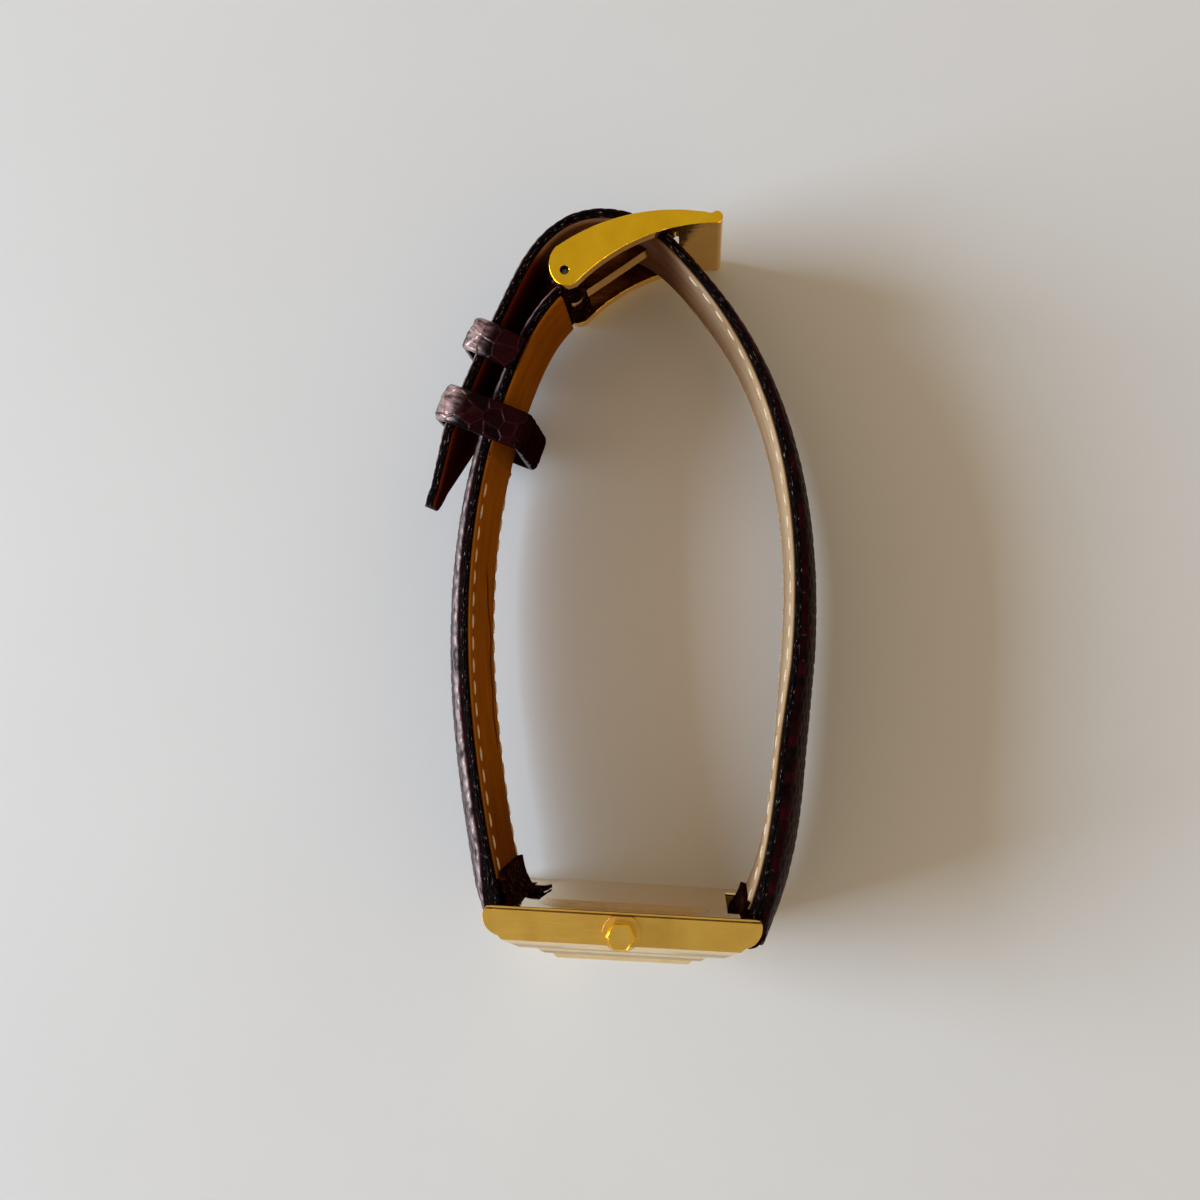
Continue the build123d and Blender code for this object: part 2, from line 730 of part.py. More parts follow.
def keeper_plane(across_share, up_share, angle, band):
    """Plane across the strap at one side of a keeper; its x points away from the wrist."""
    across = across_share * loop_width
    up = up_share * loop_height
    along = Vector(1, 0, 0).rotate(Axis.Z, angle)
    out = along.rotate(Axis.Z, -90)
    start = Vector(across, up, middle_at(up)) - along * (band / 2)
    return Plane(origin=start, x_dir=out, z_dir=along)


with BuildPart() as fixed_keeper:
    keeper_inner = strap_buckle_width + 2 * keeper_gap
    with BuildSketch(keeper_plane(fixed_keeper_across_share, fixed_keeper_up_share,
                                  fixed_keeper_angle, fixed_keeper_band)):
        RectangleRounded(fixed_keeper_height, keeper_inner + 2 * keeper_wall, keeper_corner)
        with Locations((-keeper_wall, 0)):
            Rectangle(fixed_keeper_height, keeper_inner, mode=Mode.SUBTRACT)
    extrude(amount=fixed_keeper_band)
finish(fixed_keeper.part, "fixed_keeper")

with BuildPart() as sliding_keeper:
    sliding_inner = strap_buckle_width + 4 * keeper_gap
    with BuildSketch(keeper_plane(sliding_keeper_across_share, sliding_keeper_up_share,
                                  sliding_keeper_angle, sliding_keeper_band)):
        RectangleRounded(sliding_keeper_height, sliding_inner + 2 * keeper_wall, keeper_corner)
        Rectangle(sliding_keeper_height - 2 * keeper_wall, sliding_inner, mode=Mode.SUBTRACT)
    extrude(amount=sliding_keeper_band)
finish(sliding_keeper.part, "sliding_keeper")

# Buckle


def buckle_point(share):
    """Point of a buckle outline, from the bar's axis."""
    return (share[0] * buckle_length, share[1] * buckle_length)


buckle_plane = Plane(origin=(buckle_across, buckle_up, loop_middle - buckle_width / 2))

with BuildPart() as buckle_frame:
    with BuildSketch(buckle_plane):
        with BuildLine():
            lower = ThreePointArc(*[buckle_point(share) for share in ear_lower_shares])
            upper = ThreePointArc(*[buckle_point(share) for share in ear_upper_shares])
            ThreePointArc(lower @ 1, buckle_point(ear_tip_shares), upper @ 0)
            heel = ThreePointArc(upper @ 1, buckle_point(ear_heel_shares[0]),
                                 buckle_point(ear_heel_shares[1]))
            ThreePointArc(heel @ 1, buckle_point(ear_heel_shares[2]), lower @ 0)
        make_face()
    extrude(amount=buckle_width)
    opening_length = end_plate_share * buckle_length
    with BuildSketch(buckle_plane.offset(ear_thickness)):
        with Locations((opening_length - buckle_length, 0)):
            Rectangle(2 * buckle_length, 2 * buckle_length)
    extrude(amount=buckle_width - 2 * ear_thickness, mode=Mode.SUBTRACT)
    upright(-overrun, buckle_width + overrun, buckle_pin_hole, buckle_across, buckle_up,
            Mode.SUBTRACT)
finish(buckle_frame.part, "buckle_frame")

with BuildPart() as buckle_tang:
    with BuildSketch(buckle_plane.offset(buckle_width / 2 - tang_width / 2)):
        with BuildLine():
            under = ThreePointArc(*[buckle_point(share) for share in tang_lower_shares])
            lip = Polyline(under @ 1, *[buckle_point(share) for share in tang_lip_shares])
            over = ThreePointArc(lip @ 1, *[buckle_point(share) for share in tang_upper_shares])
            Polyline(over @ 1, (0, 0), under @ 0)
        make_face()
        Circle(tang_knuckle)
        Circle(bar_sleeve_radius + running_clearance, mode=Mode.SUBTRACT)
    extrude(amount=tang_width)
finish(buckle_tang.part, "buckle_tang")

# Movement: plate, bridge, wheels, motor, battery, board


def wheel(teeth, low, high, phase, place):
    """Toothed wheel between two levels; `phase` turns a tooth to that direction."""
    pitch_radius = gear_module * teeth / 2
    root = pitch_radius - tooth_drop_share * gear_module
    top = pitch_radius + tooth_rise_share * gear_module
    foot = tooth_foot_share * gear_module
    tip = tooth_tip_share * gear_module
    with BuildSketch(face_plane(low, *place)) as profile:
        Circle(root)
        with PolarLocations(0, teeth, start_angle=phase):
            with BuildLine():
                Polyline((root - foot, foot), (top, tip), (top, -tip), (root - foot, -foot),
                         close=True)
            make_face()
    extrude(profile.sketch, amount=high - low)


def step_from(place, distance, bearing):
    """Place at a distance and bearing from another."""
    angle = math.radians(bearing)
    return (place[0] + distance * math.cos(angle), place[1] + distance * math.sin(angle))


def on_plate(shares):
    """Place on the main plate, from shares of its length and width."""
    return (shares[0] * plate_length, shares[1] * plate_width)


def centre_distance(first_teeth, second_teeth):
    """Distance between the arbors of two meshing wheels."""
    return gear_module * (first_teeth + second_teeth) / 2


def gap_phase(bearing, teeth):
    """Phase of a pinion that shows a gap to the wheel it was reached from."""
    return bearing + 180 + 180 / teeth


dial_centre = (0.0, 0.0)
third_place = step_from(dial_centre, centre_distance(centre_teeth, third_pinion_teeth),
                        third_bearing)
intermediate_place = step_from(third_place,
                               centre_distance(third_teeth, intermediate_pinion_teeth),
                               intermediate_bearing)
rotor_place = step_from(intermediate_place,
                        centre_distance(intermediate_teeth, rotor_pinion_teeth), rotor_bearing)
minute_place = step_from(dial_centre, centre_distance(cannon_teeth, minute_teeth), minute_bearing)
battery_place = on_plate((battery_across_share, battery_up_share))
pillar_places = [on_plate(shares) for shares in pillar_shares]
clamp_screw_place = on_plate(clamp_screw_shares)
stator_screw_place = on_plate(stator_screw_shares)
plate_screw_places = pillar_places + [clamp_screw_place, stator_screw_place]

with BuildPart() as main_plate:
    slab(plate_back, plate_front, plate_length, plate_width, corner=plate_corner)
    for place in pillar_places:
        disc(bridge_front, plate_back, pillar_radius, *place)
    for place in plate_screw_places:
        disc(bridge_front - overrun, plate_front + overrun, screw_shank_radius + fit_clearance,
             *place, Mode.SUBTRACT)
    disc(plate_back - overrun, plate_front + overrun, cannon_radius + running_clearance,
         mode=Mode.SUBTRACT)
    for place in (third_place, intermediate_place, rotor_place, minute_place):
        disc(plate_back - overrun, plate_front + overrun, pivot_radius + running_clearance, *place,
             Mode.SUBTRACT)
    battery_room = battery_diameter / 2 + 2 * running_clearance
    disc(plate_back - overrun, bridge_back + battery_height + 2 * running_clearance, battery_room,
         *battery_place, Mode.SUBTRACT)
    # channel of the stem and room of its slide
    stem_room = stem_pinion_diameter / 2 + running_clearance
    block(plate_back - overrun, crown_level + stem_room, -stem_room, stem_room,
          stem_inner_end - 2 * running_clearance, plate_width / 2 + overrun, Mode.SUBTRACT)
    slide_half = slide_width / 2 + running_clearance
    block(plate_back - overrun, plate_front + overrun, -slide_half, slide_half,
          stem_groove_place - running_clearance,
          stem_groove_place + stem_groove_width + crown_travel + running_clearance, Mode.SUBTRACT)
finish(main_plate.part, "main_plate")

with BuildPart() as train_bridge:
    with BuildSketch(face_plane(bridge_back)):
        with BuildLine():
            Polyline(*[on_plate(shares) for shares in bridge_shares], close=True)
        make_face()
    extrude(amount=bridge_front - bridge_back)
    for place in pillar_places:
        disc(bridge_back - overrun, bridge_front + overrun, screw_shank_radius + fit_clearance,
             *place, Mode.SUBTRACT)
    for place in (dial_centre, third_place, intermediate_place, rotor_place):
        disc(bridge_back - overrun, bridge_front + overrun, pivot_radius + running_clearance,
             *place, Mode.SUBTRACT)
finish(train_bridge.part, "train_bridge")

pivot_low = bridge_back + hub_gap
pivot_high = plate_front - hub_gap
hub_low = bridge_front + hub_gap
hub_high = plate_back - hub_gap

with BuildPart() as centre_wheel:
    wheel(centre_teeth, centre_level, centre_level + wheel_thickness, third_bearing, dial_centre)
    disc(pivot_low, centre_level, pivot_radius)
    disc(hub_low, centre_level, 2 * arbor_radius)
    disc(centre_level, cannon_level, cannon_radius)
    wheel(cannon_teeth, cannon_level, cannon_level + wheel_thickness, minute_bearing, dial_centre)
    disc(cannon_level, minute_hand_level + hand_thickness, cannon_radius - running_clearance)
finish(centre_wheel.part, "centre_wheel")

with BuildPart() as third_wheel:
    wheel(third_pinion_teeth, hub_high - third_pinion_height, hub_high,
          gap_phase(third_bearing, third_pinion_teeth), third_place)
    wheel(third_teeth, third_level, third_level + wheel_thickness, intermediate_bearing, third_place)
    disc(hub_low, hub_high, arbor_radius, *third_place)
    disc(pivot_low, pivot_high, pivot_radius, *third_place)
finish(third_wheel.part, "third_wheel")

with BuildPart() as intermediate_wheel:
    wheel(intermediate_pinion_teeth, third_level - wheel_gap,
          third_level + wheel_thickness + wheel_gap,
          gap_phase(intermediate_bearing, intermediate_pinion_teeth), intermediate_place)
    wheel(intermediate_teeth, intermediate_level, intermediate_level + wheel_thickness - hub_gap,
          rotor_bearing, intermediate_place)
    disc(hub_low, hub_high, arbor_radius, *intermediate_place)
    disc(pivot_low, pivot_high, pivot_radius, *intermediate_place)
finish(intermediate_wheel.part, "intermediate_wheel")

with BuildPart() as rotor:
    wheel(rotor_pinion_teeth, intermediate_level - wheel_gap, intermediate_level + wheel_thickness,
          gap_phase(rotor_bearing, rotor_pinion_teeth), rotor_place)
    disc(intermediate_level + wheel_thickness, hub_high - rotor_top_gap, rotor_radius, *rotor_place)
    disc(hub_low, hub_high, arbor_radius, *rotor_place)
    disc(pivot_low, pivot_high, pivot_radius, *rotor_place)
finish(rotor.part, "rotor")

with BuildPart() as minute_wheel:
    wheel(minute_teeth, cannon_level, cannon_level + wheel_thickness,
          gap_phase(minute_bearing, minute_teeth), minute_place)
    wheel(minute_pinion_teeth, hour_level, hour_level + wheel_thickness,
          minute_bearing + 180, minute_place)
    disc(plate_front + hub_gap, hour_level + wheel_thickness, 2 * arbor_radius, *minute_place)
    disc(plate_back + hub_gap, plate_front + hub_gap, pivot_radius, *minute_place)
finish(minute_wheel.part, "minute_wheel")

hour_tube = cannon_radius + hour_tube_wall

with BuildPart() as hour_wheel:
    wheel(hour_teeth, hour_level, hour_level + wheel_thickness, minute_bearing + 180 / hour_teeth,
          dial_centre)
    disc(hour_level, hour_hand_level + hand_thickness, hour_tube)
    disc(hour_level - overrun, minute_hand_level, cannon_radius + fit_clearance / 2,
         mode=Mode.SUBTRACT)
finish(hour_wheel.part, "hour_wheel")

with BuildPart() as stator:
    coil_across, coil_up = on_plate((coil_across_share, coil_up_share))
    leg_left = coil_across - coil_length / 2
    leg_right = coil_across + coil_length / 2
    leg_foot = coil_up - stator_arm / 2
    yoke_top = rotor_place[1] + stator_arm
    yoke_foot = rotor_place[1] - stator_arm
    stator_low = intermediate_level + wheel_thickness + stator_gap
    stator_high = stator_low + stator_thickness
    block(stator_low, stator_high, leg_left, leg_left + stator_arm, leg_foot, yoke_top)
    block(stator_low, stator_high, leg_right - stator_arm, leg_right, leg_foot, yoke_top)
    block(stator_low, stator_high, leg_left, leg_right, yoke_foot, yoke_top)
    disc(stator_low - overrun, stator_high + overrun, rotor_radius + rotor_side_gap, *rotor_place,
         Mode.SUBTRACT)
finish(stator.part, "stator")

core_low = stator_low - coil_core_side - fit_clearance

with BuildPart() as coil_core:
    block(core_low, core_low + coil_core_side, leg_left, leg_right,
          coil_up - coil_core_side / 2, coil_up + coil_core_side / 2)
finish(coil_core.part, "coil_core")

with BuildPart() as coil_winding:
    winding_length = coil_length - 2 * stator_arm - 2 * running_clearance
    winding_centre = core_low + coil_core_side / 2
    with BuildSketch(Plane(origin=(coil_across - winding_length / 2, -winding_centre,
                                   mid_height + coil_up), z_dir=(1, 0, 0))):
        Circle(coil_radius)
    extrude(amount=winding_length)
    core_room = coil_core_side / 2 + fit_clearance
    block(winding_centre - core_room, winding_centre + core_room, leg_left - overrun,
          leg_right + overrun, coil_up - core_room, coil_up + core_room, Mode.SUBTRACT)
finish(coil_winding.part, "coil_winding")

with BuildPart() as battery:
    disc(bridge_back, bridge_back + battery_height, battery_diameter / 2, *battery_place)
    chamfer(battery.faces().sort_by(Axis.Y)[-1].edges(), edge_break)
finish(battery.part, "battery")

with BuildPart() as battery_clamp:
    clamp_high = bridge_back - fit_clearance
    clamp_low = clamp_high - clamp_thickness
    arm_left, arm_right = [share * plate_length for share in clamp_arm_shares]
    clamp_foot, clamp_top = [share * plate_width for share in clamp_width_shares]
    block(clamp_low, clamp_high, battery_place[0] - clamp_reach, arm_right, clamp_foot, clamp_top)
    block(clamp_low, clamp_high, arm_left, arm_right, clamp_foot, 0)
    disc(clamp_low, plate_back - fit_clearance, pillar_radius, *clamp_screw_place)
    disc(clamp_low - overrun, plate_back + overrun, screw_shank_radius + fit_clearance,
         *clamp_screw_place, Mode.SUBTRACT)
    disc(clamp_high, plate_back + overrun, battery_room, *battery_place, Mode.SUBTRACT)
finish(battery_clamp.part, "battery_clamp")

board_high = plate_back - fit_clearance
board_low = board_high - board_thickness

with BuildPart() as circuit_board:
    block(board_low, board_high, board_left_share * plate_length, board_right_share * plate_length,
          board_low_share * plate_width, board_high_share * plate_width)
    disc(board_low - overrun, board_high + overrun, pillar_radius + pillar_room, *pillar_places[2],
         Mode.SUBTRACT)
finish(circuit_board.part, "circuit_board")

with BuildPart() as control_chip:
    with BuildSketch(face_plane(board_low - chip_height, *on_plate(chip_place_shares))):
        Rectangle(chip_side, chip_side)
    extrude(amount=chip_height)
finish(control_chip.part, "control_chip")

with BuildPart() as quartz_can:
    quartz_across, quartz_up = on_plate(quartz_place_shares)
    with BuildSketch(Plane(origin=(quartz_across, quartz_radius - board_low,
                                   mid_height + quartz_up))):
        Circle(quartz_radius)
    extrude(amount=quartz_length)
    fillet(quartz_can.faces().sort_by(Axis.Z)[-1].edges(), edge_break)
finish(quartz_can.part, "quartz_can")

with BuildPart() as movement_screws:
    for place in plate_screw_places:
        under_head = bridge_back
        if place == clamp_screw_place:
            under_head = clamp_low
        if place == stator_screw_place:
            under_head = plate_back
        disc(under_head - screw_head_height, under_head, screw_head_radius, *place)
        disc(under_head, plate_front, screw_shank_radius, *place)
        block(under_head - screw_head_height - overrun, under_head - screw_head_height / 2,
              place[0] - overrun, place[0] + overrun, place[1] - running_clearance,
              place[1] + running_clearance, Mode.SUBTRACT)
finish(movement_screws.part, "movement_screws")

with BuildPart() as movement_holder:
    holder_length = cavity_length - 2 * cavity_ledge - 4 * fit_clearance
    holder_width = cavity_width - 2 * cavity_ledge - 4 * fit_clearance
    holder_high = dial_seat - dial_thickness - fit_clearance
    slab(ledge_level + holder_gap, holder_high, holder_length, holder_width)
    slab(ledge_level - overrun, plate_front + fit_clearance, plate_length + 4 * fit_clearance,
         plate_width + 4 * fit_clearance, Mode.SUBTRACT, corner=plate_corner)
    slab(ledge_level, dial_seat, plate_length - 2 * holder_ledge, plate_width - 2 * holder_ledge,
         Mode.SUBTRACT)
    # way of the stem
    block(ledge_level, crown_level + stem_room, -stem_room, stem_room, 0,
          holder_width, Mode.SUBTRACT)
finish(movement_holder.part, "movement_holder")

dial_back = dial_seat - dial_thickness

with BuildPart() as dial:
    slab(dial_back, dial_seat - fit_clearance, holder_length, holder_width)
    disc(dial_back - overrun, dial_seat + overrun, hour_tube + running_clearance,
         mode=Mode.SUBTRACT)
finish(dial.part, "dial")

with BuildPart() as hour_markers:
    with BuildSketch(face_plane(dial_seat - fit_clearance)):
        with PolarLocations(baton_radius, marker_count):
            Rectangle(baton_length, baton_width)
    extrude(amount=baton_height)
finish(hour_markers.part, "hour_markers")


def hand(level, length, clock_angle, hub, bore, name):
    """Tapered hand with a ring round its arbor; twelve o'clock lies at -X."""
    with BuildPart() as pointer:
        towards = math.radians(180 - clock_angle)
        turned = Plane(origin=(0, -level, mid_height),
                       x_dir=(math.cos(towards), 0, math.sin(towards)), z_dir=(0, -1, 0))
        with BuildSketch(turned):
            with BuildLine():
                Polyline((0, hub / 2), (length / 3, hub / 2), (length, 0), (length / 3, -hub / 2),
                         (0, -hub / 2), close=True)
            make_face()
            Circle(hub)
            Circle(bore, mode=Mode.SUBTRACT)
        extrude(amount=hand_thickness)
    finish(pointer.part, name)


hand(hour_hand_level, hour_hand_length, hand_angle_hour, hour_tube + hour_hub_rim,
     hour_tube + fit_clearance / 2, "hour_hand")
hand(minute_hand_level, minute_hand_length, hand_angle_minute, hour_tube,
     cannon_radius - fit_clearance, "minute_hand")
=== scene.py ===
"""Looks of a square dress watch on a buckled lizard-leather strap, lying on its nine o'clock side.

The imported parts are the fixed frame. The strap, its keepers, lining and stitches are modelled here,
and every part gets the finish of the real one. Metres, X from twelve to six o'clock, dial to -Y.
"""
import logging
import math
from dataclasses import dataclass, field
from enum import Enum
from typing import Callable, Sequence

import bpy
import numpy as np
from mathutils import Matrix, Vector


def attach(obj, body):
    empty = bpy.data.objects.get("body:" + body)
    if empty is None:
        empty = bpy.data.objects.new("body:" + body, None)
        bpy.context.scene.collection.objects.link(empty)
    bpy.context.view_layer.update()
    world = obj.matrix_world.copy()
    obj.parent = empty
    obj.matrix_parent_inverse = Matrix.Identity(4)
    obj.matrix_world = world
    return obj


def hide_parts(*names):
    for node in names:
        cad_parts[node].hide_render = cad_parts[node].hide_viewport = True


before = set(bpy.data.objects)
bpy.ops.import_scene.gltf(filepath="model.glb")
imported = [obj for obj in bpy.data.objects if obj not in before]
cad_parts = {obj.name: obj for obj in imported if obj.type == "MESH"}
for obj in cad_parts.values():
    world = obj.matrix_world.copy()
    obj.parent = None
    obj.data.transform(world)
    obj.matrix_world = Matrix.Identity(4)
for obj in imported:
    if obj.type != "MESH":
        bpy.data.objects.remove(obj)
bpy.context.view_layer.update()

Array = np.ndarray
Pair = tuple[float, float]
Triple = tuple[float, float, float]
Piece = bpy.types.Object
Face = bpy.types.MeshPolygon
Tree = bpy.types.NodeTree

MM = 0.001
CASE_WIDTH = 25.0 * MM
MID_HEIGHT = CASE_WIDTH / 2
FLANK = MID_HEIGHT - 0.3 * MM  # faces farther than this from the middle height lie on a flank
STEPS_FRONT = -1.71 * MM  # the flanks end here and the polished steps begin
LUG_WIDTH = 17.7 * MM
BUCKLE_BAR = (-9.95 * MM, 67 * MM)
STRAP_LEAN = 2.5 * MM  # how far the strap's middle comes down by the buckle's bar
EDGE_MARK = 20.0  # surface coordinates beyond this lie on a painted edge
SKIN_PITCH = (1.25, 1.45)  # a scale's size along and across the strap, in millimetres
WATCH = "watch"
log = logging.getLogger("square_watch")


def linear(hex_code: str) -> tuple[float, float, float, float]:
    """Turn an sRGB hex value, such as "C9A24A", into linear RGBA."""
    channels = [int(hex_code[i:i + 2], 16) / 255 for i in (0, 2, 4)]
    curve = [c / 12.92 if c <= 0.04045 else ((c + 0.055) / 1.055) ** 2.4 for c in channels]
    return (*curve, 1.0)


def add_node(tree: Tree, kind: str, inputs: dict | None = None,
             stops: Sequence[tuple[float, str]] = (), **settings: object) -> bpy.types.Node:
    """Add a shader node with its settings, socket values and incoming links.

    Args:
        tree: the node tree to add to.
        kind: the node's type name, without the leading ShaderNode.
        inputs: socket name or number to its value, to the output socket that feeds it, or to the
            node whose first output does.
        stops: a colour ramp's places from 0 to 1 with their sRGB hex colours.
        **settings: attributes of the node itself.

    Returns:
        The new node.
    """
    node = tree.nodes.new(f"ShaderNode{kind}")
    for name, value in settings.items():
        setattr(node, name, value)
    for name, value in (inputs or {}).items():
        source = value.outputs[0] if isinstance(value, bpy.types.Node) else value
        if isinstance(source, bpy.types.NodeSocket):
            tree.links.new(source, node.inputs[name])
        else:
            node.inputs[name].default_value = source
    if stops:
        elements = node.color_ramp.elements
        while len(elements) < len(stops):
            elements.new(0.5)
        for element, (place, colour) in zip(elements, stops):
            element.position, element.color = place, linear(colour)
    return node


class Space(Enum):
    """Where a pattern is laid out."""

    OBJECT = "Object"
    SURFACE = "UV"


class Finish:
    """A surface finish. Subclasses hold its values and draw its nodes."""

    name: str

    def shade(self, tree: Tree) -> dict:
        """Add the pattern's nodes and return what feeds the shader's inputs."""
        raise NotImplementedError

    def material(self) -> bpy.types.Material:
        """Make the material at its first use, and return it."""
        made = bpy.data.materials.get(self.name)
        if not made:
            made = bpy.data.materials.new(self.name)
            made.use_nodes = True
            made.node_tree.nodes.clear()
            shader = add_node(made.node_tree, "BsdfPrincipled", self.shade(made.node_tree))
            add_node(made.node_tree, "OutputMaterial", {"Surface": shader})
        return made

    @staticmethod
    def place(tree: Tree, space: Space, *stretch: float) -> bpy.types.Node:
        """Coordinates for a pattern with so many periods per millimetre along each axis."""
        coordinates = add_node(tree, "TexCoord")
        unit = 1 / MM if space is Space.OBJECT else 1.0
        return add_node(tree, "Mapping", {"Vector": coordinates.outputs[space.value],
                                          "Scale": [s * unit for s in stretch]})


@dataclass(frozen=True)
class PlatedMetal(Finish):
    """Metal, plain or gold plated: fine grain from brushing or polishing, slight waviness."""

    name: str
    colour: str
    shadow_colour: str
    roughness: float
    grain: Triple = (0.6, 14.0, 14.0)
    grain_depth: float = 0.02
    wave_depth: float = 0.0
    roughness_spread: float = 0.05
    cloud: float = 0.35

    def shade(self, tree: Tree) -> dict:
        """Brush lines in the bump and roughness, cloudy wear in the colour."""
        lines, clouds = (
            add_node(tree, "TexNoise", {"Scale": 1.0, "Detail": detail,
                                        "Vector": self.place(tree, Space.OBJECT, *stretch)})
            for detail, stretch in ((3.0, self.grain), (4.0, [self.cloud] * 3)))
        tint = add_node(tree, "ValToRGB", {"Fac": clouds},
                        ((0.32, self.shadow_colour), (0.68, self.colour)))
        rough = add_node(tree, "MapRange", {
            "Value": lines, "From Min": 0.3, "From Max": 0.7,
            "To Min": max(self.roughness - self.roughness_spread, 0.03),
            "To Max": self.roughness + self.roughness_spread})
        bump = add_node(tree, "Bump", {
            "Height": lines, "Strength": 0.5, "Distance": self.grain_depth * MM})
        if self.wave_depth:
            bump = add_node(tree, "Bump", {
                "Height": clouds, "Normal": bump, "Strength": 0.6,
                "Distance": self.wave_depth * MM})
        return {"Base Color": tint, "Roughness": rough, "Metallic": 1.0, "Normal": bump}


@dataclass(frozen=True)
class Moulded(Finish):
    """Non-metal with an even fine texture: rubber, resin board, enamel, thread, plastic."""

    name: str
    colour: str
    shadow_colour: str
    roughness: float
    texture_per_mm: float = 6.0
    texture_depth: float = 0.01

    def shade(self, tree: Tree) -> dict:
        """Fine noise in colour and bump."""
        pattern = self.place(tree, Space.OBJECT, *[self.texture_per_mm] * 3)
        fine = add_node(tree, "TexNoise", {"Vector": pattern, "Scale": 1.0, "Detail": 4.0})
        tint = add_node(tree, "ValToRGB", {"Fac": fine},
                        ((0.35, self.shadow_colour), (0.65, self.colour)))
        bump = add_node(tree, "Bump", {
            "Height": fine, "Strength": 0.5, "Distance": self.texture_depth * MM})
        return {"Base Color": tint, "Roughness": self.roughness, "Normal": bump}


@dataclass(frozen=True)
class LizardLeather(Finish):
    """Glazed lizard skin: near-black burgundy scales, pale ridges, glossy where handled, painted
    highlights.
    """

    name: str = "lizard_skin_glazed"
    ridge: str = "18080A"
    low: str = "0C0102"
    high: str = "2E040B"
    roughness: float = 0.36
    gloss: float = 0.028
    # Colour of the pale flecks, which are painted glints.
    painted_highlight: str = "5C4240"
    relief: float = 0.07
    handled_gloss: float = 0.8
    groove_gloss: float = 0.3
    # Colour of the painted highlight along the rims that face the light.
    rim_highlight_colour: str = "9A8482"
    glaze_tint: str = "FFE2DC"

    def shade(self, tree: Tree) -> dict:
        """Colour follows the scale attributes that the mesh carries, with painted glints and rim
        highlights on top.
        """
        edge, tone, handled, rim = (
            add_node(tree, "Attribute", attribute_name=name).outputs["Fac"]
            for name in ("scale_edge", "scale_tone", "wear_and_shade", "painted_highlight"))
        skin = add_node(tree, "ValToRGB", {"Fac": tone}, ((0.1, self.low), (0.9, self.high)))
        plates = add_node(tree, "Mix", {0: edge, 6: linear(self.ridge), 7: skin}, data_type="RGBA")
        wrinkles, patches, pores = (
            add_node(tree, "TexNoise", {"Scale": 1.0, "Detail": detail,
                                        "Vector": self.place(tree, Space.SURFACE, *stretch, 1.0)})
            for detail, stretch in ((4.0, (1.6, 2.8)), (3.0, (0.7, 1.8)), (2.0, (7.0, 7.0))))
        # The pale flecks mixed in here are painted glints.
        flecks = add_node(tree, "MapRange", {
            "Value": wrinkles, "From Min": 0.63, "From Max": 0.74, "To Max": 0.5})
        flecked = add_node(tree, "Mix", {
            0: flecks, 6: plates.outputs[2], 7: linear(self.painted_highlight)}, data_type="RGBA")
        broken = add_node(tree, "MapRange", {
            "Value": patches, "From Min": 0.36, "From Max": 0.62, "To Min": 0.1, "To Max": 1.0})
        scale = add_node(tree, "MapRange", {
            "Value": edge, "To Min": self.groove_gloss, "To Max": self.handled_gloss})
        glossy = add_node(tree, "Math", {0: scale, 1: broken}, operation="MULTIPLY")
        level = add_node(tree, "MapRange", {
            "Value": handled, "To Min": self.gloss, "To Max": glossy})
        # Painted highlight: the pale rim colour where the mesh asks for it, broken into patches.
        share = add_node(tree, "Math", {0: rim, 1: broken}, operation="MULTIPLY")
        pale = add_node(tree, "Mix", {
            0: share, 6: flecked.outputs[2], 7: linear(self.rim_highlight_colour)}, data_type="RGBA")
        soft = add_node(tree, "Bump", {
            "Height": wrinkles, "Strength": 0.9, "Distance": self.relief * MM})
        fine = add_node(tree, "Bump", {
            "Height": pores, "Normal": soft, "Strength": 0.6, "Distance": 0.02 * MM})
        return {"Base Color": pale.outputs[2], "Roughness": self.roughness, "Normal": fine,
                "Specular IOR Level": level, "Specular Tint": linear(self.glaze_tint)}


@dataclass(frozen=True)
class EdgePaint(Finish):
    """Cut leather edge under black edge paint: long ridges, with short pale flecks of painted glints.
    """

    name: str = "leather_edge_painted"
    # The palest tone paints glints on the ridges.
    tones: tuple[str, str, str, str] = ("010000", "060203", "241A1A", "A39490")
    gloss: float = 0.02
    fibre: Pair = (1.5, 6.5)
    stops: tuple[float, float, float, float] = (0.42, 0.55, 0.61, 0.7)
    roughness: float = 0.3
    glaze_tint: str = "FFE2DC"

    def shade(self, tree: Tree) -> dict:
        """Long fibres along the edge, broken into short ridges."""
        fibres = add_node(tree, "TexNoise", {
            "Vector": self.place(tree, Space.SURFACE, *self.fibre, 1.0), "Scale": 1.0,
            "Detail": 4.0, "Roughness": 0.6})
        grit = add_node(tree, "TexNoise", {
            "Vector": self.place(tree, Space.SURFACE, 3.0, 6.0, 1.0), "Scale": 1.0, "Detail": 3.0})
        tint = add_node(tree, "ValToRGB", {"Fac": fibres}, tuple(zip(self.stops, self.tones)))
        coarse = add_node(tree, "Bump", {"Height": fibres, "Strength": 1.0, "Distance": 0.15 * MM})
        fine = add_node(tree, "Bump", {
            "Height": grit, "Normal": coarse, "Strength": 0.8, "Distance": 0.06 * MM})
        return {"Base Color": tint, "Roughness": self.roughness, "Normal": fine,
                "Specular IOR Level": self.gloss, "Specular Tint": linear(self.glaze_tint)}


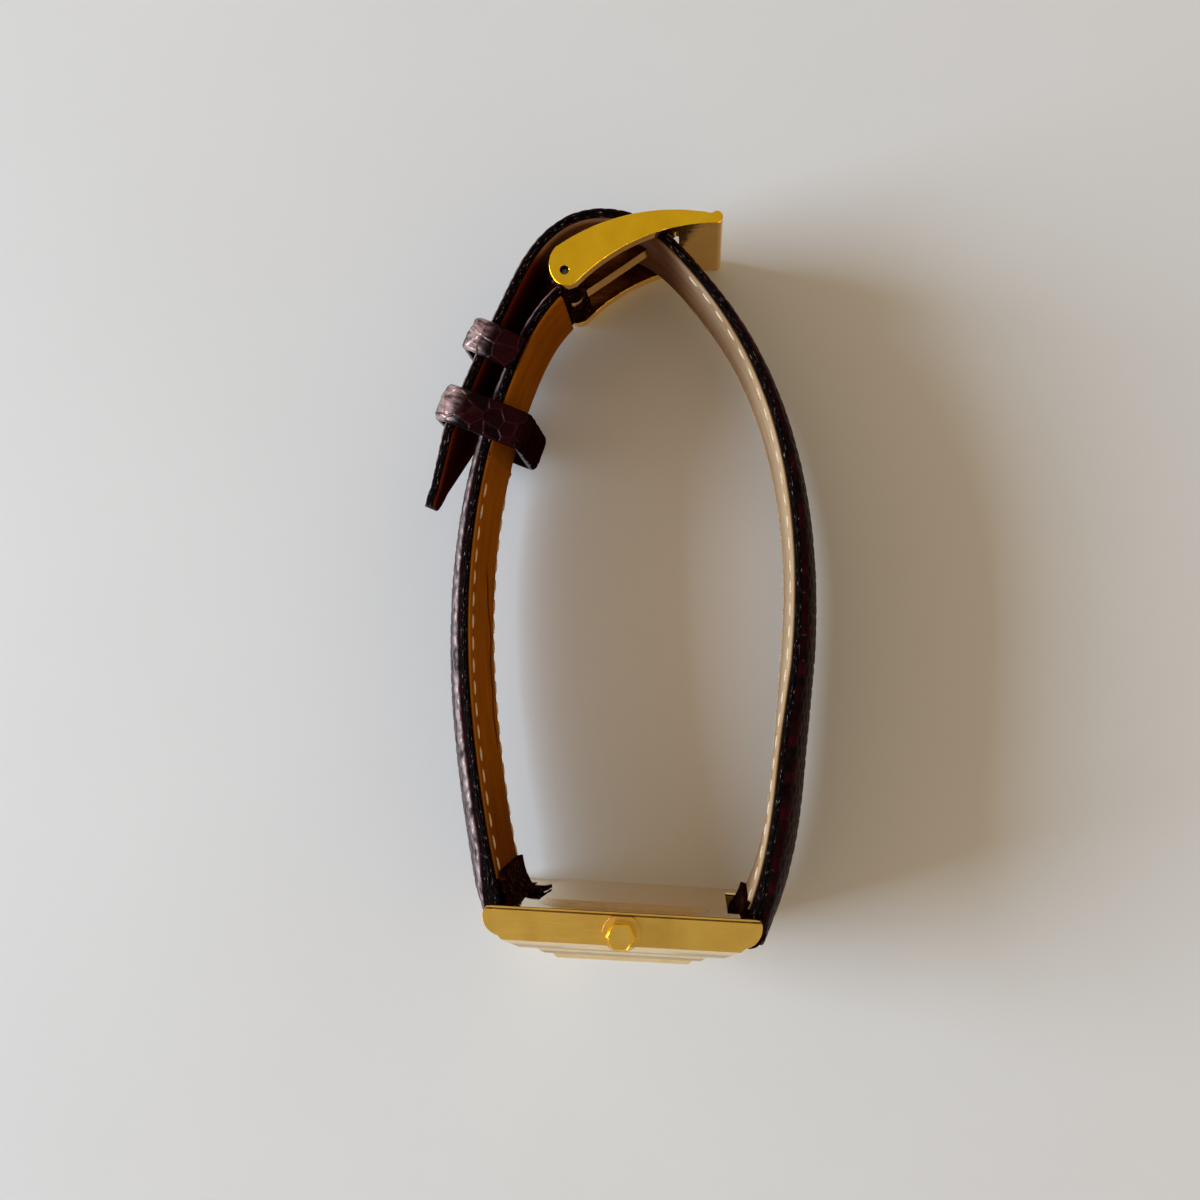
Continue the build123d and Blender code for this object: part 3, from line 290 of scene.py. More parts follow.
@dataclass(frozen=True)
class CalfLining(Finish):
    """Vegetable-tanned calf lining: warm tan, smooth, with faint pores, worn streaks, and a stain
    colour that also paints shade.
    """

    name: str
    light: str
    dark: str
    stain_and_shade: str = "3C1206"
    roughness: float = 0.7

    def shade(self, tree: Tree) -> dict:
        """Clouded tan with streaks along the strap and pores in the bump."""
        clouds = add_node(tree, "TexNoise", {
            "Vector": self.place(tree, Space.SURFACE, 0.12, 0.4, 1.0), "Scale": 1.0, "Detail": 5.0})
        pores = add_node(tree, "TexVoronoi", {
            "Vector": self.place(tree, Space.SURFACE, 4.5, 4.5, 1.0), "Scale": 1.0})
        tint = add_node(tree, "ValToRGB", {"Fac": clouds}, ((0.3, self.dark), (0.7, self.light)))
        wear_and_shade = add_node(tree, "Attribute", attribute_name="wear_and_shade").outputs["Fac"]
        # The stain colour marks dark leather and a crack, and also paints shade near the buckle.
        mixed = add_node(tree, "Mix", {0: wear_and_shade, 6: tint, 7: linear(self.stain_and_shade)}, data_type="RGBA")
        bump = add_node(tree, "Bump", {"Height": pores, "Strength": 0.5, "Distance": 0.03 * MM})
        return {"Base Color": mixed.outputs[2], "Roughness": self.roughness, "Normal": bump,
                "Specular IOR Level": 0.0}


@dataclass(frozen=True)
class MineralGlass(Finish):
    """Polished mineral glass of the crystal, clear with faint handling marks."""

    name: str = "mineral_glass_polished"

    def shade(self, tree: Tree) -> dict:
        """Full transmission, marks only in the roughness."""
        marks = add_node(tree, "TexNoise", {
            "Vector": self.place(tree, Space.OBJECT, 0.5, 0.5, 0.5), "Scale": 1.0, "Detail": 6.0})
        rough = add_node(tree, "MapRange", {
            "Value": marks, "From Min": 0.45, "From Max": 0.8, "To Min": 0.0, "To Max": 0.06})
        return {"Base Color": linear("F4F7F5"), "Transmission Weight": 1.0, "IOR": 1.52,
                "Roughness": rough}


# Gold electroplate over steel. Flanks are satin, crown, steps and buckle are polished.
GOLD_SATIN = PlatedMetal("gold_plate_satin", "DFB151", "D5A54A", 0.36, (0.25, 10.0, 10.0), 0.015)
GOLD_FRONT = PlatedMetal("gold_plate_steps", "FFE3B0", "F7D89E", 0.2, (1.0, 8.0, 8.0), 0.008)
GOLD_MIRROR = PlatedMetal("gold_plate_mirror", "F2CF8C", "EAC47C", 0.06, (1.0, 6.0, 6.0), 0.003,
                          0.02, 0.02)
GOLD_POLISHED = PlatedMetal("gold_plate_polished", "FCC424", "F2B61E", 0.12, (1.5, 6.0, 1.5),
                            0.006, 0.05)
# Darker, duller gold: the body-back joint is really dark; the other faces are painted shade, on the
# buckle and tang a painted reflection of the dark strap.
GOLD_DARK_REFLECTION = PlatedMetal("gold_plate_dark_reflection", "8E4F1E", "5E2A10", 0.22, (0.6, 3.0, 3.0), 0.02, 0.08)
GOLD_JOINT_AND_SHADE = PlatedMetal("gold_plate_joint_and_shade", "7A4610", "5A300A", 0.4)
GOLD_SEAM_AND_SHADE = PlatedMetal("gold_plate_seam_and_shade", "5A2406", "3A1202", 0.4)
# Turned and stamped metals of bars and movement, grey or yellow, with fine tool lines.
STEEL_DULL = PlatedMetal("steel_bar_end", "8C8B86", "6E6D69", 0.45)
STEEL = PlatedMetal("steel_turned", "B9BABC", "9D9EA1", 0.28)
BRASS = PlatedMetal("brass_stamped", "D9BC78", "C7A65C", 0.3, (9.0, 9.0, 0.8))
COPPER = PlatedMetal("copper_wire_enamelled", "B5683C", "8F4A26", 0.35, (9.0, 2.0, 2.0), 0.03)
FERRITE = PlatedMetal("magnet_sintered", "4A4A4D", "38383B", 0.5)
# Moulded, lacquered and spun non-metals, even in colour and without gloss.
RUBBER = Moulded("nitrile_rubber", "161616", "0E0E0E", 0.6)
ENAMEL = Moulded("dial_lacquer_matt", "ECE6D6", "E3DCCB", 0.5, 12.0, 0.004)
ACETAL = Moulded("acetal_moulded", "E4E4DE", "D6D6CE", 0.45)
BOARD = Moulded("glass_epoxy_board", "2C6B45", "1F5535", 0.4)
CHIP = Moulded("epoxy_potting_black", "121212", "0A0A0A", 0.5)
THREAD = Moulded("linen_thread_cream", "E6D3B4", "C9AD86", 0.6, 5.0, 0.05)
TABLE = Moulded("table_laminate_pale", "E3E3E3", "E0E0E0", 0.5, 0.02, 0.0)
# Lizard: small scales on the strap, flat glazed belly plates on the keepers, dull inside them.
LIZARD = LizardLeather()
# The last colour of each lizard finish paints the highlight on rims and corners facing the light.
LIZARD_BELLY = LizardLeather("lizard_belly_glazed", "280A0C", "040001", "200204", 0.26, 0.05,
                             "3E2423", 0.04, 1.0, 1.0, "B08A86")
LIZARD_INNER = LizardLeather("lizard_belly_dull", "1E0A0C", "0C0203", "20060A", 0.5, 0.0,
                             "24100F", 0.04)
# Cut edges are painted black. Where the skin is turned round a bar, brown flesh shows in creases,
# their pale lines painted highlights.
EDGE = EdgePaint()
TURNED = EdgePaint("leather_turned_back", ("0A0202", "1E0A07", "4C2A22", "9A786E"), 0.0,
                   (0.9, 3.4), (0.4, 0.54, 0.62, 0.72))
# Calf: one tan lining, pale on the tail's half. The buckle's half, turned from the window, is a
# darker copy: painted shade.
LINING_SHADED = CalfLining("calf_lining_shaded", "A05D14", "8A4C0C")
LINING_PALE = CalfLining("calf_lining_tan", "BEA283", "AC8A64", "451506")
GLASS = MineralGlass()

# Parts that aren't named here are turned steel.
NODE_FINISH: dict[str, Finish] = {
    "case_body": GOLD_SATIN, "case_back": GOLD_MIRROR, "crystal": GLASS, "dial": ENAMEL,
    "movement_holder": ACETAL, "circuit_board": BOARD, "control_chip": CHIP, "rotor": FERRITE,
    "coil_winding": COPPER, "buckle_bar_upper_tip": STEEL_DULL,
    **dict.fromkeys(("crown", "buckle_frame", "buckle_tang", "hour_markers", "hour_hand",
                     "minute_hand"), GOLD_POLISHED),
    **dict.fromkeys(("back_gasket", "crystal_gasket", "crown_gasket"), RUBBER),
    **dict.fromkeys(("main_plate", "train_bridge", "centre_wheel", "third_wheel",
                     "intermediate_wheel", "minute_wheel", "hour_wheel"), BRASS),
}


def select_only(piece: Piece | None = None) -> None:
    """Leave object mode with this object alone selected and active, or with nothing selected."""
    if bpy.context.object and bpy.context.object.mode != "OBJECT":
        bpy.ops.object.mode_set(mode="OBJECT")
    bpy.ops.object.select_all(action="DESELECT")
    if piece:
        piece.select_set(True)
        bpy.context.view_layer.objects.active = piece


def scale_pattern(along: Array, across: Array, pitch: Pair, seed: int,
                  jitter: float = 0.34) -> tuple[Array, Array]:
    """Reptile scales over a surface, from a jittered brick grid of cells.

    Args:
        along: distance along the skin, in millimetres.
        across: distance across it, in millimetres.
        pitch: size of a scale along and across, in millimetres.
        seed: changes the pattern.
        jitter: how far a scale's middle leaves its place, as a share of the pitch.

    Returns:
        Distance to the groove (millimetres, 0 in the groove) and a tone per scale from 0 to 1.
    """
    rows, columns = along / pitch[0], across / pitch[1]

    def chance(i: Array, j: Array, salt: float) -> Array:
        """Fixed pseudo-random number for a cell."""
        value = np.sin(i * 127.1 + j * 311.7 + (seed + salt) * 74.7) * 43758.5453
        return value - np.floor(value)

    nearest, second = np.full(along.shape, 1e9), np.full(along.shape, 1e9)
    tone = np.zeros(along.shape)
    for row_step in (-2, -1, 0, 1, 2):
        row = np.floor(rows) + row_step
        shift = np.where(np.mod(row, 2) == 0, 0.0, 0.5)
        for column_step in (-1, 0, 1):
            column = np.floor(columns - shift) + column_step
            centre_row = row + 0.5 + jitter * (chance(row, column, 1) - 0.5)
            centre_column = column + 0.5 + shift + jitter * (chance(row, column, 2) - 0.5)
            distance = np.hypot((rows - centre_row) * pitch[0],
                                (columns - centre_column) * pitch[1])
            closer = distance < nearest
            second = np.where(closer, nearest, np.minimum(second, distance))
            tone = np.where(closer, chance(row, column, 3), tone)
            nearest = np.where(closer, distance, nearest)
    return (second - nearest) / 2, tone


def smooth(value: Array, low: float, high: float) -> Array:
    """Smooth step from 0 at `low` to 1 at `high`."""
    share = np.clip((value - low) / (high - low), 0, 1)
    return share * share * (3 - 2 * share)


def signed_power(value: Array, power: float) -> Array:
    """Power that keeps the sign: of sine and cosine it gives a section with rounded corners."""
    return np.sign(value) * np.abs(value) ** power


@dataclass
class Route:
    """Line of the lining's wrist side, through the same points as the solids."""

    points: Sequence[Pair]
    steps: int = 1600
    places: Array = field(init=False)
    lengths: Array = field(init=False)

    def __post_init__(self) -> None:
        """Draw a natural cubic spline through the points."""
        knots = np.array(self.points, float)
        spans = np.hypot(*np.diff(knots, axis=0).T)
        at = np.concatenate([[0], np.cumsum(spans)])
        count = len(knots)
        matrix, right = np.eye(count), np.zeros((count, 2))
        for i in range(1, count - 1):
            matrix[i, i - 1:i + 2] = (spans[i - 1], 2 * (spans[i - 1] + spans[i]), spans[i])
            right[i] = 6 * ((knots[i + 1] - knots[i]) / spans[i]
                            - (knots[i] - knots[i - 1]) / spans[i - 1])
        bend = np.linalg.solve(matrix, right)
        t = np.linspace(0, at[-1], self.steps)
        i = np.clip(np.searchsorted(at, t, side="right") - 1, 0, count - 2)
        h, a, b = spans[i][:, None], (at[i + 1] - t)[:, None], (t - at[i])[:, None]
        self.places = (bend[i] * a ** 3 + bend[i + 1] * b ** 3) / (6 * h) \
            + (knots[i] / h - bend[i] * h / 6) * a + (knots[i + 1] / h - bend[i + 1] * h / 6) * b
        self.lengths = np.concatenate([[0], np.cumsum(np.hypot(*np.diff(self.places, axis=0).T))])

    @property
    def length(self) -> float:
        """Whole length in metres."""
        return float(self.lengths[-1])

    def at(self, distance: Array) -> tuple[Array, Array]:
        """Places and unit directions at distances from the lug end, straight beyond the ends."""
        inside = np.clip(distance, 0, self.length)
        slope = np.gradient(self.places, self.lengths, axis=0)
        place, way = (np.stack([np.interp(inside, self.lengths, line[:, k]) for k in (0, 1)], -1)
                      for line in (self.places, slope))
        way /= np.linalg.norm(way, axis=-1, keepdims=True)
        return place + way * (distance - inside)[..., None], way


def strap_middle(up: Array) -> Array:
    """Height of the strap's middle line, which leans down towards the buckle."""
    return MID_HEIGHT - STRAP_LEAN * np.clip(up, 0, BUCKLE_BAR[1]) / BUCKLE_BAR[1]


def grid_piece(name: str, rows: int, columns: int,
               shape: Callable[[Array, Array], tuple[Array, Array]],
               wrap_rows: bool = False) -> Piece:
    """Tube-like piece from a grid: its columns close round a section, its rows run along it.

    Args:
        name: the piece's name.
        rows: faces along the piece.
        columns: faces round the section.
        shape: takes row and column shares from 0 to 1, gives places (metres) and surface
            coordinates (millimetres).
        wrap_rows: join the last row to the first instead of closing both ends with a face.

    Returns:
        The new mesh object.
    """
    select_only()
    bpy.ops.mesh.primitive_grid_add(x_subdivisions=rows, y_subdivisions=columns, size=2)
    piece = bpy.context.object
    piece.name = piece.data.name = name
    mesh = piece.data
    flat = np.empty(len(mesh.vertices) * 3, np.float32)
    mesh.vertices.foreach_get("co", flat)
    shares = (flat.reshape(-1, 3)[:, :2] + 1) / 2
    places, surface = shape(shares[:, 0].astype(float), shares[:, 1].astype(float))
    mesh.vertices.foreach_set("co", places.astype(np.float32).ravel())
    owner = np.empty(len(mesh.loops), np.int32)
    mesh.loops.foreach_get("vertex_index", owner)
    layer = mesh.uv_layers.active or mesh.uv_layers.new(name="surface")
    layer.data.foreach_set("uv", surface[owner].astype(np.float32).ravel())
    mesh.update()
    bpy.ops.object.mode_set(mode="EDIT")
    bpy.ops.mesh.select_all(action="SELECT")
    bpy.ops.mesh.remove_doubles(threshold=0.002 * MM)
    if not wrap_rows:
        bpy.ops.mesh.select_all(action="DESELECT")
        bpy.ops.mesh.select_non_manifold()
        bpy.ops.mesh.fill_holes(sides=0)
    bpy.ops.mesh.select_all(action="SELECT")
    bpy.ops.mesh.normals_make_consistent(inside=False)
    bpy.ops.object.mode_set(mode="OBJECT")
    bpy.ops.object.shade_smooth()
    return piece


def point_attribute(piece: Piece, name: str, values: Array) -> None:
    """Store one number per vertex for the material to read."""
    attribute = piece.data.attributes.get(name) or piece.data.attributes.new(name, "FLOAT", "POINT")
    attribute.data.foreach_set("value", values.astype(np.float32))


def surface_points(piece: Piece) -> Array:
    """Surface coordinates of each vertex, along and across, in millimetres."""
    mesh = piece.data
    corners, owner = np.empty(len(mesh.loops) * 2, np.float32), np.empty(len(mesh.loops), np.int32)
    mesh.uv_layers.active.data.foreach_get("uv", corners)
    mesh.loops.foreach_get("vertex_index", owner)
    surface = np.zeros((len(mesh.vertices), 2))
    surface[owner] = corners.reshape(-1, 2)
    return surface


def mark_scales(piece: Piece, pitch: Pair, seed: int, crest: float,
                jitter: float = 0.34) -> None:
    """Keep the scale pattern as vertex attributes that the leather's material reads."""
    surface = surface_points(piece)
    gap, tone = scale_pattern(surface[:, 0], surface[:, 1], pitch, seed, jitter)
    point_attribute(piece, "scale_edge", smooth(gap, 0.02, crest))
    point_attribute(piece, "scale_tone", tone)


def dress(piece: Piece, *finishes: Finish) -> None:
    """Give a piece its finishes in slot order."""
    piece.data.materials.clear()
    for finish in finishes:
        piece.data.materials.append(finish.material())


def set_slots(piece: Piece, choose: Callable[[Face], int]) -> None:
    """Put each face in the finish slot that `choose` gives for it."""
    for face in piece.data.polygons:
        face.material_index = choose(face)


@dataclass(frozen=True)
class StrapSection:
    """Sizes of the strap's section, in metres."""

    lining: float = 0.5 * MM
    edge: float = 1.15 * MM
    thin: float = 1.8 * MM
    buckle_width: float = 15.6 * MM
    scale_height: float = 0.11 * MM
    fold_rise: float = 1.3 * MM
    fold_length: float = 8.0 * MM
    nose_length: float = 4.0 * MM
    tail_point: float = 2.2 * MM
    tail_taper: float = 8.0 * MM
    dome_spread: float = 1.08  # how much longer the domed skin is than the strap is wide


SECTION = StrapSection()


@dataclass
class StrapHalf:
    """One half of the strap: padded leather, lining and two rows of stitches."""

    name: str
    number: int
    route: Route
    outward: float
    tail: bool
    seed: int
    lining_finish: CalfLining
    narrow_share: float
    thin_share: float
    thick: float
    nose_drop: float
    twist: float
    twist_share: float
    lining_start: float
    lining_end: float
    dark_from: float
    highlight_from: float
    stitch_end: float
    step_along: float = 0.22 * MM

    def half_width(self, distance: Array) -> Array:
        """Half the strap's width at a distance, with the tail's rounded point."""
        share = np.clip(distance / self.route.length / self.narrow_share, 0, 1)
        width = (LUG_WIDTH - (LUG_WIDTH - SECTION.buckle_width) * share) / 2
        if self.tail:
            left = np.maximum(self.route.length - distance, 0)
            nose, reach = SECTION.tail_point, SECTION.tail_taper
            round_part = np.sqrt(np.maximum(nose ** 2 - (nose - np.minimum(left, nose)) ** 2, 0))
            slant = nose + (SECTION.buckle_width / 2 - nose) * (left - nose) / (reach - nose)
            width = np.minimum(width, np.where(left < nose, round_part, slant))
        return width

    def thickness(self, distance: Array) -> Array:
        """Thickness of lining and padding in the strap's middle."""
        share = np.clip(distance / self.route.length / self.thin_share, 0, 1)
        padded = SECTION.thin + (self.thick - SECTION.thin) * np.cos(math.pi / 2 * share)
        return padded - self.nose_drop * np.clip(1 - distance / SECTION.nose_length, 0, 1)

    def edge(self, distance: Array) -> Array:
        """Thickness of the cut edge, with the fold at the lug."""
        return SECTION.edge + SECTION.fold_rise * np.clip(1 - distance / SECTION.fold_length, 0, 1)

    def point(self, distance: Array, out: Array, side: Array) -> Array:
        """Places given by distance from the lug end, out from the wrist, and up from the middle."""
        place, way = self.route.at(distance)
        outward = np.stack([way[:, 1], -way[:, 0]], -1) * self.outward
        share = np.clip(distance / self.route.length / self.twist_share, 0, 1)
        lean = np.radians(self.twist) * np.sin(math.pi * share)
        flat = place + outward * (out * np.cos(lean) + side * np.sin(lean))[:, None]
        up = side * np.cos(lean) - out * np.sin(lean)
        return np.column_stack([flat, strap_middle(place[:, 1]) + up])

    @staticmethod
    def edge_relief(share: Array, distance: Array) -> Array:
        """How far the cut edge bulges, with long uneven ridges left by its layers."""
        place = distance / MM
        drift = 0.16 * np.sin(0.9 * place) + 0.1 * np.sin(2.3 * place + 1)
        uneven = 0.6 + 0.4 * np.sin(1.7 * place)
        ridges = 0.045 * np.sin(2 * math.pi * (2.6 * share + drift)) * uneven
        return (0.06 + ridges) * MM * np.sin(math.pi * np.clip(share, 0, 1))

    def leather(self) -> Piece:
        """Padded leather with its scales, painted edges, and a bare side under the lining."""
        under, edge, dome = 4, 12, 70  # faces of half the wrist side, of an edge and of the skin
        columns = 2 * under + 2 * edge + dome

        def shape(along: Array, around: Array) -> tuple[Array, Array]:
            """Places of the section's points, round from the middle of the wrist side."""
            distance = along * self.route.length
            half = np.maximum(self.half_width(distance), 0.05 * MM)
            rim = self.edge(distance)
            rise = rim - SECTION.lining
            top = np.maximum(self.thickness(distance) - rim, 0.1 * MM)
            top = top * np.clip(half / (SECTION.buckle_width / 2), 0.3, 1)
            index = np.rint(around * columns)
            ends = np.cumsum((under, edge, dome, edge))
            zones = [index <= end for end in ends]
            first, last = (index - ends[0]) / edge, (index - ends[2]) / edge
            angle = math.pi * (index - ends[1]) / dome
            side = np.select(zones, [
                half * index / under, half + self.edge_relief(first, distance),
                half * np.cos(angle), -half - self.edge_relief(last, distance + 40 * MM),
            ], -half * (1 - (index - ends[3]) / under))
            out = np.select(zones, [
                np.full_like(half, SECTION.lining), SECTION.lining + rise * first,
                rim + top * signed_power(np.sin(angle), 0.75), rim - rise * last,
            ], SECTION.lining)
            skin = (index >= ends[1]) & (index <= ends[2])
            turn = np.clip(angle, 0, math.pi)
            across = half * np.cos(turn) * SECTION.dome_spread
            gap, tone = scale_pattern(distance / MM, across / MM, SKIN_PITCH, self.seed)
            fade = smooth(np.minimum(index - ends[1], ends[2] - index), 0, 5)
            swell = (smooth(gap, 0.02, 0.3) - 0.55) * SECTION.scale_height * fade \
                + (tone - 0.5) * 0.04 * MM * fade
            out = np.where(skin, out + swell * np.sin(turn), out)
            side = np.where(skin, side + swell * np.cos(turn), side)
            painted = np.sign(side + 1e-9) * (EDGE_MARK + 1 + out / MM)
            surface = np.column_stack([distance / MM, np.where(skin, across / MM, painted)])
            return self.point(distance, out, side), surface

        rows = int(self.route.length / self.step_along)
        piece = grid_piece(f"{self.name}_leather", rows, columns, shape)
        mark_scales(piece, SKIN_PITCH, self.seed, 0.3)
        along, across = surface_points(piece).T
        across = np.abs(across)
        half = self.half_width(along * MM) / MM
        arch = np.degrees(np.arccos(np.clip(across / (SECTION.dome_spread * half + 1e-6), 0, 1)))
        # Past the given distance the dome's rim band turns glossier and gets a painted highlight in
        # pale colour.
        wear_and_shade = smooth(arch, 3, 12) * (across < EDGE_MARK) \
            * smooth(along, self.highlight_from / MM, self.highlight_from / MM + 8)
        point_attribute(piece, "wear_and_shade", wear_and_shade)
        point_attribute(piece, "painted_highlight", 0.9 * wear_and_shade * (1 - smooth(arch, 12, 27)))
        dress(piece, LIZARD, EDGE, TURNED)
        bare = EDGE_MARK + 1 + SECTION.lining / MM + 0.001

        def slot(face: Face) -> int:
            """Skin, edge paint, or the side under the lining."""
            far = max(across[i] for i in face.vertices)
            return 0 if far < EDGE_MARK else 2 if far < bare else 1

        set_slots(piece, slot)
        return piece

    def lining(self) -> Piece:
        """Tan lining, a hair narrower than the leather, with painted rims."""
        start, end = self.lining_start, self.lining_end * self.route.length
        lap_at = np.interp(47.6 * MM, self.route.places[:, 1], self.route.lengths)
        power = 0.18

        def shape(along: Array, around: Array) -> tuple[Array, Array]:
            """Rounded flat strip, with a lapped joint across it on the buckle's half."""
            distance = start + (end - start) * along
            half = np.maximum(self.half_width(distance) - 0.06 * MM, 0.05 * MM)
            even = signed_power(4 * np.abs(around - 0.5) - 1, 1 / power)
            turn = np.arccos(np.clip(even, -1, 1))
            angle = np.where(around < 0.5, turn, 2 * math.pi - turn)
            side = half * signed_power(np.cos(angle), power)
            out = SECTION.lining / 2 * (1 + signed_power(np.sin(angle), power))
            out = np.minimum(out, SECTION.lining - 0.01 * MM)
            if not self.tail:
                lap = np.exp(-((distance - lap_at) / MM / 0.28) ** 2) * (out < SECTION.lining / 2)
                out = out - 0.16 * MM * lap
            return self.point(distance, out, side), np.column_stack([distance / MM, side / MM])

        piece = grid_piece(f"{self.name}_lining", int((end - start) / (0.3 * MM)), 96, shape)
        dress(piece, self.lining_finish, EDGE)
        along, across = surface_points(piece).T
        wear_and_shade = smooth(along, self.dark_from / MM, self.dark_from / MM + 8)
        if self.tail:
            # The steps between 54 and 76 mm are painted shade by the buckle; the dark tail beyond is
            # the lining's own colour.
            wear_and_shade = np.maximum(wear_and_shade, 0.3 * smooth(along, 54, 66) + 0.5 * smooth(along, 70, 76))
        else:
            crack = across + 5.2 - 4.2 * smooth(along, 30, 38) + 0.35 * np.sin(along * 1.1)
            wear_and_shade = np.exp(-(crack / 0.5) ** 2) * smooth(-np.abs(along - 27.5), -11, -8.5)
            # Darker within 20 mm of the lug end, darkest before 8 mm.
            wear_and_shade = np.maximum(wear_and_shade, 0.45 * smooth(-along, -20, -8))
        point_attribute(piece, "wear_and_shade", wear_and_shade)
        inset = np.abs(across) - self.half_width(along * MM) / MM
        set_slots(piece, lambda face: int(min(inset[i] for i in face.vertices) > -0.12))
        return piece

    def stitches(self) -> Piece:
        """Two rows of cream stitches on the lining, modelled once and copied, as one piece."""
        period, length, thick, inset = 2.3 * MM, 1.6 * MM, 0.17 * MM, 0.75 * MM
        select_only()
        bpy.ops.mesh.primitive_uv_sphere_add(segments=8, ring_count=6, radius=1)
        model = bpy.context.object
        model.name = f"{self.name}_stitches"
        vertices = np.array([v.co for v in model.data.vertices])
        select_only()
        for way in (1, -1):
            for step in range(int((self.stitch_end - self.lining_start - 1.0 * MM) / period)):
                middle = self.lining_start + 1.4 * MM + period * step
                along = middle + vertices[:, 0] * length / 2
                row = way * (self.half_width(np.full(1, middle))[0] - inset)
                places = self.point(along, -0.03 * MM + vertices[:, 2] * thick * 0.8,
                                    row + vertices[:, 1] * thick)
                copy = model.copy()
                copy.data = model.data.copy()
                copy.data.vertices.foreach_set("co", places.astype(np.float32).ravel())
                bpy.context.collection.objects.link(copy)
                copy.select_set(True)
                if way == 1 and step == 0:
                    bpy.context.view_layer.objects.active = copy
        bpy.ops.object.join()
        piece = bpy.context.object
        bpy.data.objects.remove(model)
        piece.name = f"{self.name}_stitches"
        bpy.ops.object.shade_smooth()
        dress(piece, THREAD)
        return piece

    def build(self) -> list[Piece]:
        """Build and dress the half's three pieces."""
        leather, lining, stitches = self.leather(), self.lining(), self.stitches()
        for piece, kind in ((leather, "leather"), (lining, "lining")):
            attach(piece, WATCH)
            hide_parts(f"strap_{self.number}_{kind}")
        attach(stitches, WATCH)
        return [leather, lining, stitches]


def turned_piece(name: str, rows: int, columns: int,
                 shape: Callable[[Array, Array], tuple[Array, Array]]) -> list[Piece]:
    """Grid piece of skin that is turned round the strap's ends, with its brown flesh side out."""
    piece = grid_piece(name, rows, columns, shape)
    dress(piece, TURNED)
    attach(piece, WATCH)
    return [piece]


@dataclass
class Wrap:
    """Leather turned round a spring bar, as a roll between two heights."""

    name: str
    centre: Pair
    radius: float
    low: float
    high: float
    seed: int = 5
    rim: float = 0.35 * MM

    def build(self) -> list[Piece]:
        """Build the roll with rounded rims and shallow creases."""
        height = self.high - self.low

        def shape(along: Array, around: Array) -> tuple[Array, Array]:
            """Barrel with a small round at each rim."""
            up = along * height
            near = np.maximum(self.rim - np.minimum(up, height - up), 0)
            inset = self.rim - np.sqrt(np.maximum(self.rim ** 2 - near ** 2, 0))
            angle = 2 * math.pi * around
            round_way = angle * self.radius / MM
            gap, _ = scale_pattern(round_way, up / MM, SKIN_PITCH, self.seed)
            radius = self.radius - inset - 0.08 * MM * (1 - smooth(gap, 0.02, 0.3))
            places = np.column_stack([self.centre[0] + radius * np.cos(angle),
                                      self.centre[1] + radius * np.sin(angle), self.low + up])
            return places, np.column_stack([round_way, up / MM])

        return turned_piece(self.name, 40, 96, shape)


@dataclass
class LugFold:
    """Creased leather between the lining's end and the case's wall, filling a lug bay."""

    name: str
    line: Sequence[Pair]
    thickness: float
    low: float
    high: float
    seed: float
    taper: float = 0.0

    def build(self) -> list[Piece]:
        """Build the fold as a sheet along a curved line, creased across."""
        route = Route([(x * MM, y * MM) for x, y in self.line])
        middle, half = (self.low + self.high) / 2, (self.high - self.low) / 2

        def shape(along: Array, around: Array) -> tuple[Array, Array]:
            """Flat section with round rims, its wrist side creased along the fold."""
            turn = 2 * math.pi * around
            side = half * signed_power(np.cos(turn), 0.25)
            side = side * (1 - self.taper * (1 - along))
            through = self.thickness / 2 * signed_power(np.sin(turn), 0.3)
            place, way = route.at(along * route.length)
            wave = np.sin(side / MM * 5.1 + self.seed + 2.2 * np.sin(along * 5 + side / MM * 0.9))
            wave = wave + 0.6 * np.sin(side / MM * 9.7 + 3 * along + self.seed * 2)
            crease = 0.13 * MM * wave * np.sin(math.pi * along) ** 0.5 * (np.sin(turn) > 0.1)
            normal = np.stack([-way[:, 1], way[:, 0]], -1)
            flat = place + normal * (through + crease)[:, None]
            surface = np.column_stack([along * route.length / MM, side / MM])
            return np.column_stack([flat, middle + side]), surface

        return turned_piece(self.name, 60, 120, shape)


@dataclass
class RoundedOutline:
    """Rounded rectangle, run once round, or without its low side where that is open."""

    half_out: float
    half_side: float
    corners: tuple[Pair, Pair]
    low_side_open: bool
    points: Array = field(init=False)
    lengths: Array = field(init=False)

    def __post_init__(self) -> None:
        """Lay the corners' arcs and the straights between them."""
        low, high = self.corners
        start = -self.half_out + low[0]
        rows = [(start, self.half_side, 0, 1) if self.low_side_open else (-self.half_out, 0, -1, 0)]
        signs = ((-1, 1, low), (1, 1, high), (1, -1, high), (-1, -1, low))
        for number, (sign_out, sign_side, radius) in enumerate(signs):
            if self.low_side_open and number in (0, 3):
                continue
            for turn in np.linspace(math.pi - math.pi / 2 * number, math.pi / 2 * (1 - number), 13):
                way = np.array([math.cos(turn), math.sin(turn)])
                normal = way / radius / np.linalg.norm(way / radius)
                middle = (sign_out * (self.half_out - radius[0]),
                          sign_side * (self.half_side - radius[1]))
                rows.append((*(middle + way * radius), *normal))
        rows.append((start, -self.half_side, 0, -1) if self.low_side_open else rows[0])
        self.points = np.array(rows, float)
        steps = np.hypot(*np.diff(self.points[:, :2], axis=0).T)
        self.lengths = np.concatenate([[0], np.cumsum(steps)])

    @property
    def length(self) -> float:
        """Length once round, in metres."""
        return float(self.lengths[-1])

    def at(self, share: Array) -> Array:
        """Out, side and the outward normal's two parts at shares of the outline, one row each."""
        return np.stack([np.interp(share * self.length, self.lengths, self.points[:, k])
                         for k in range(4)], -1)


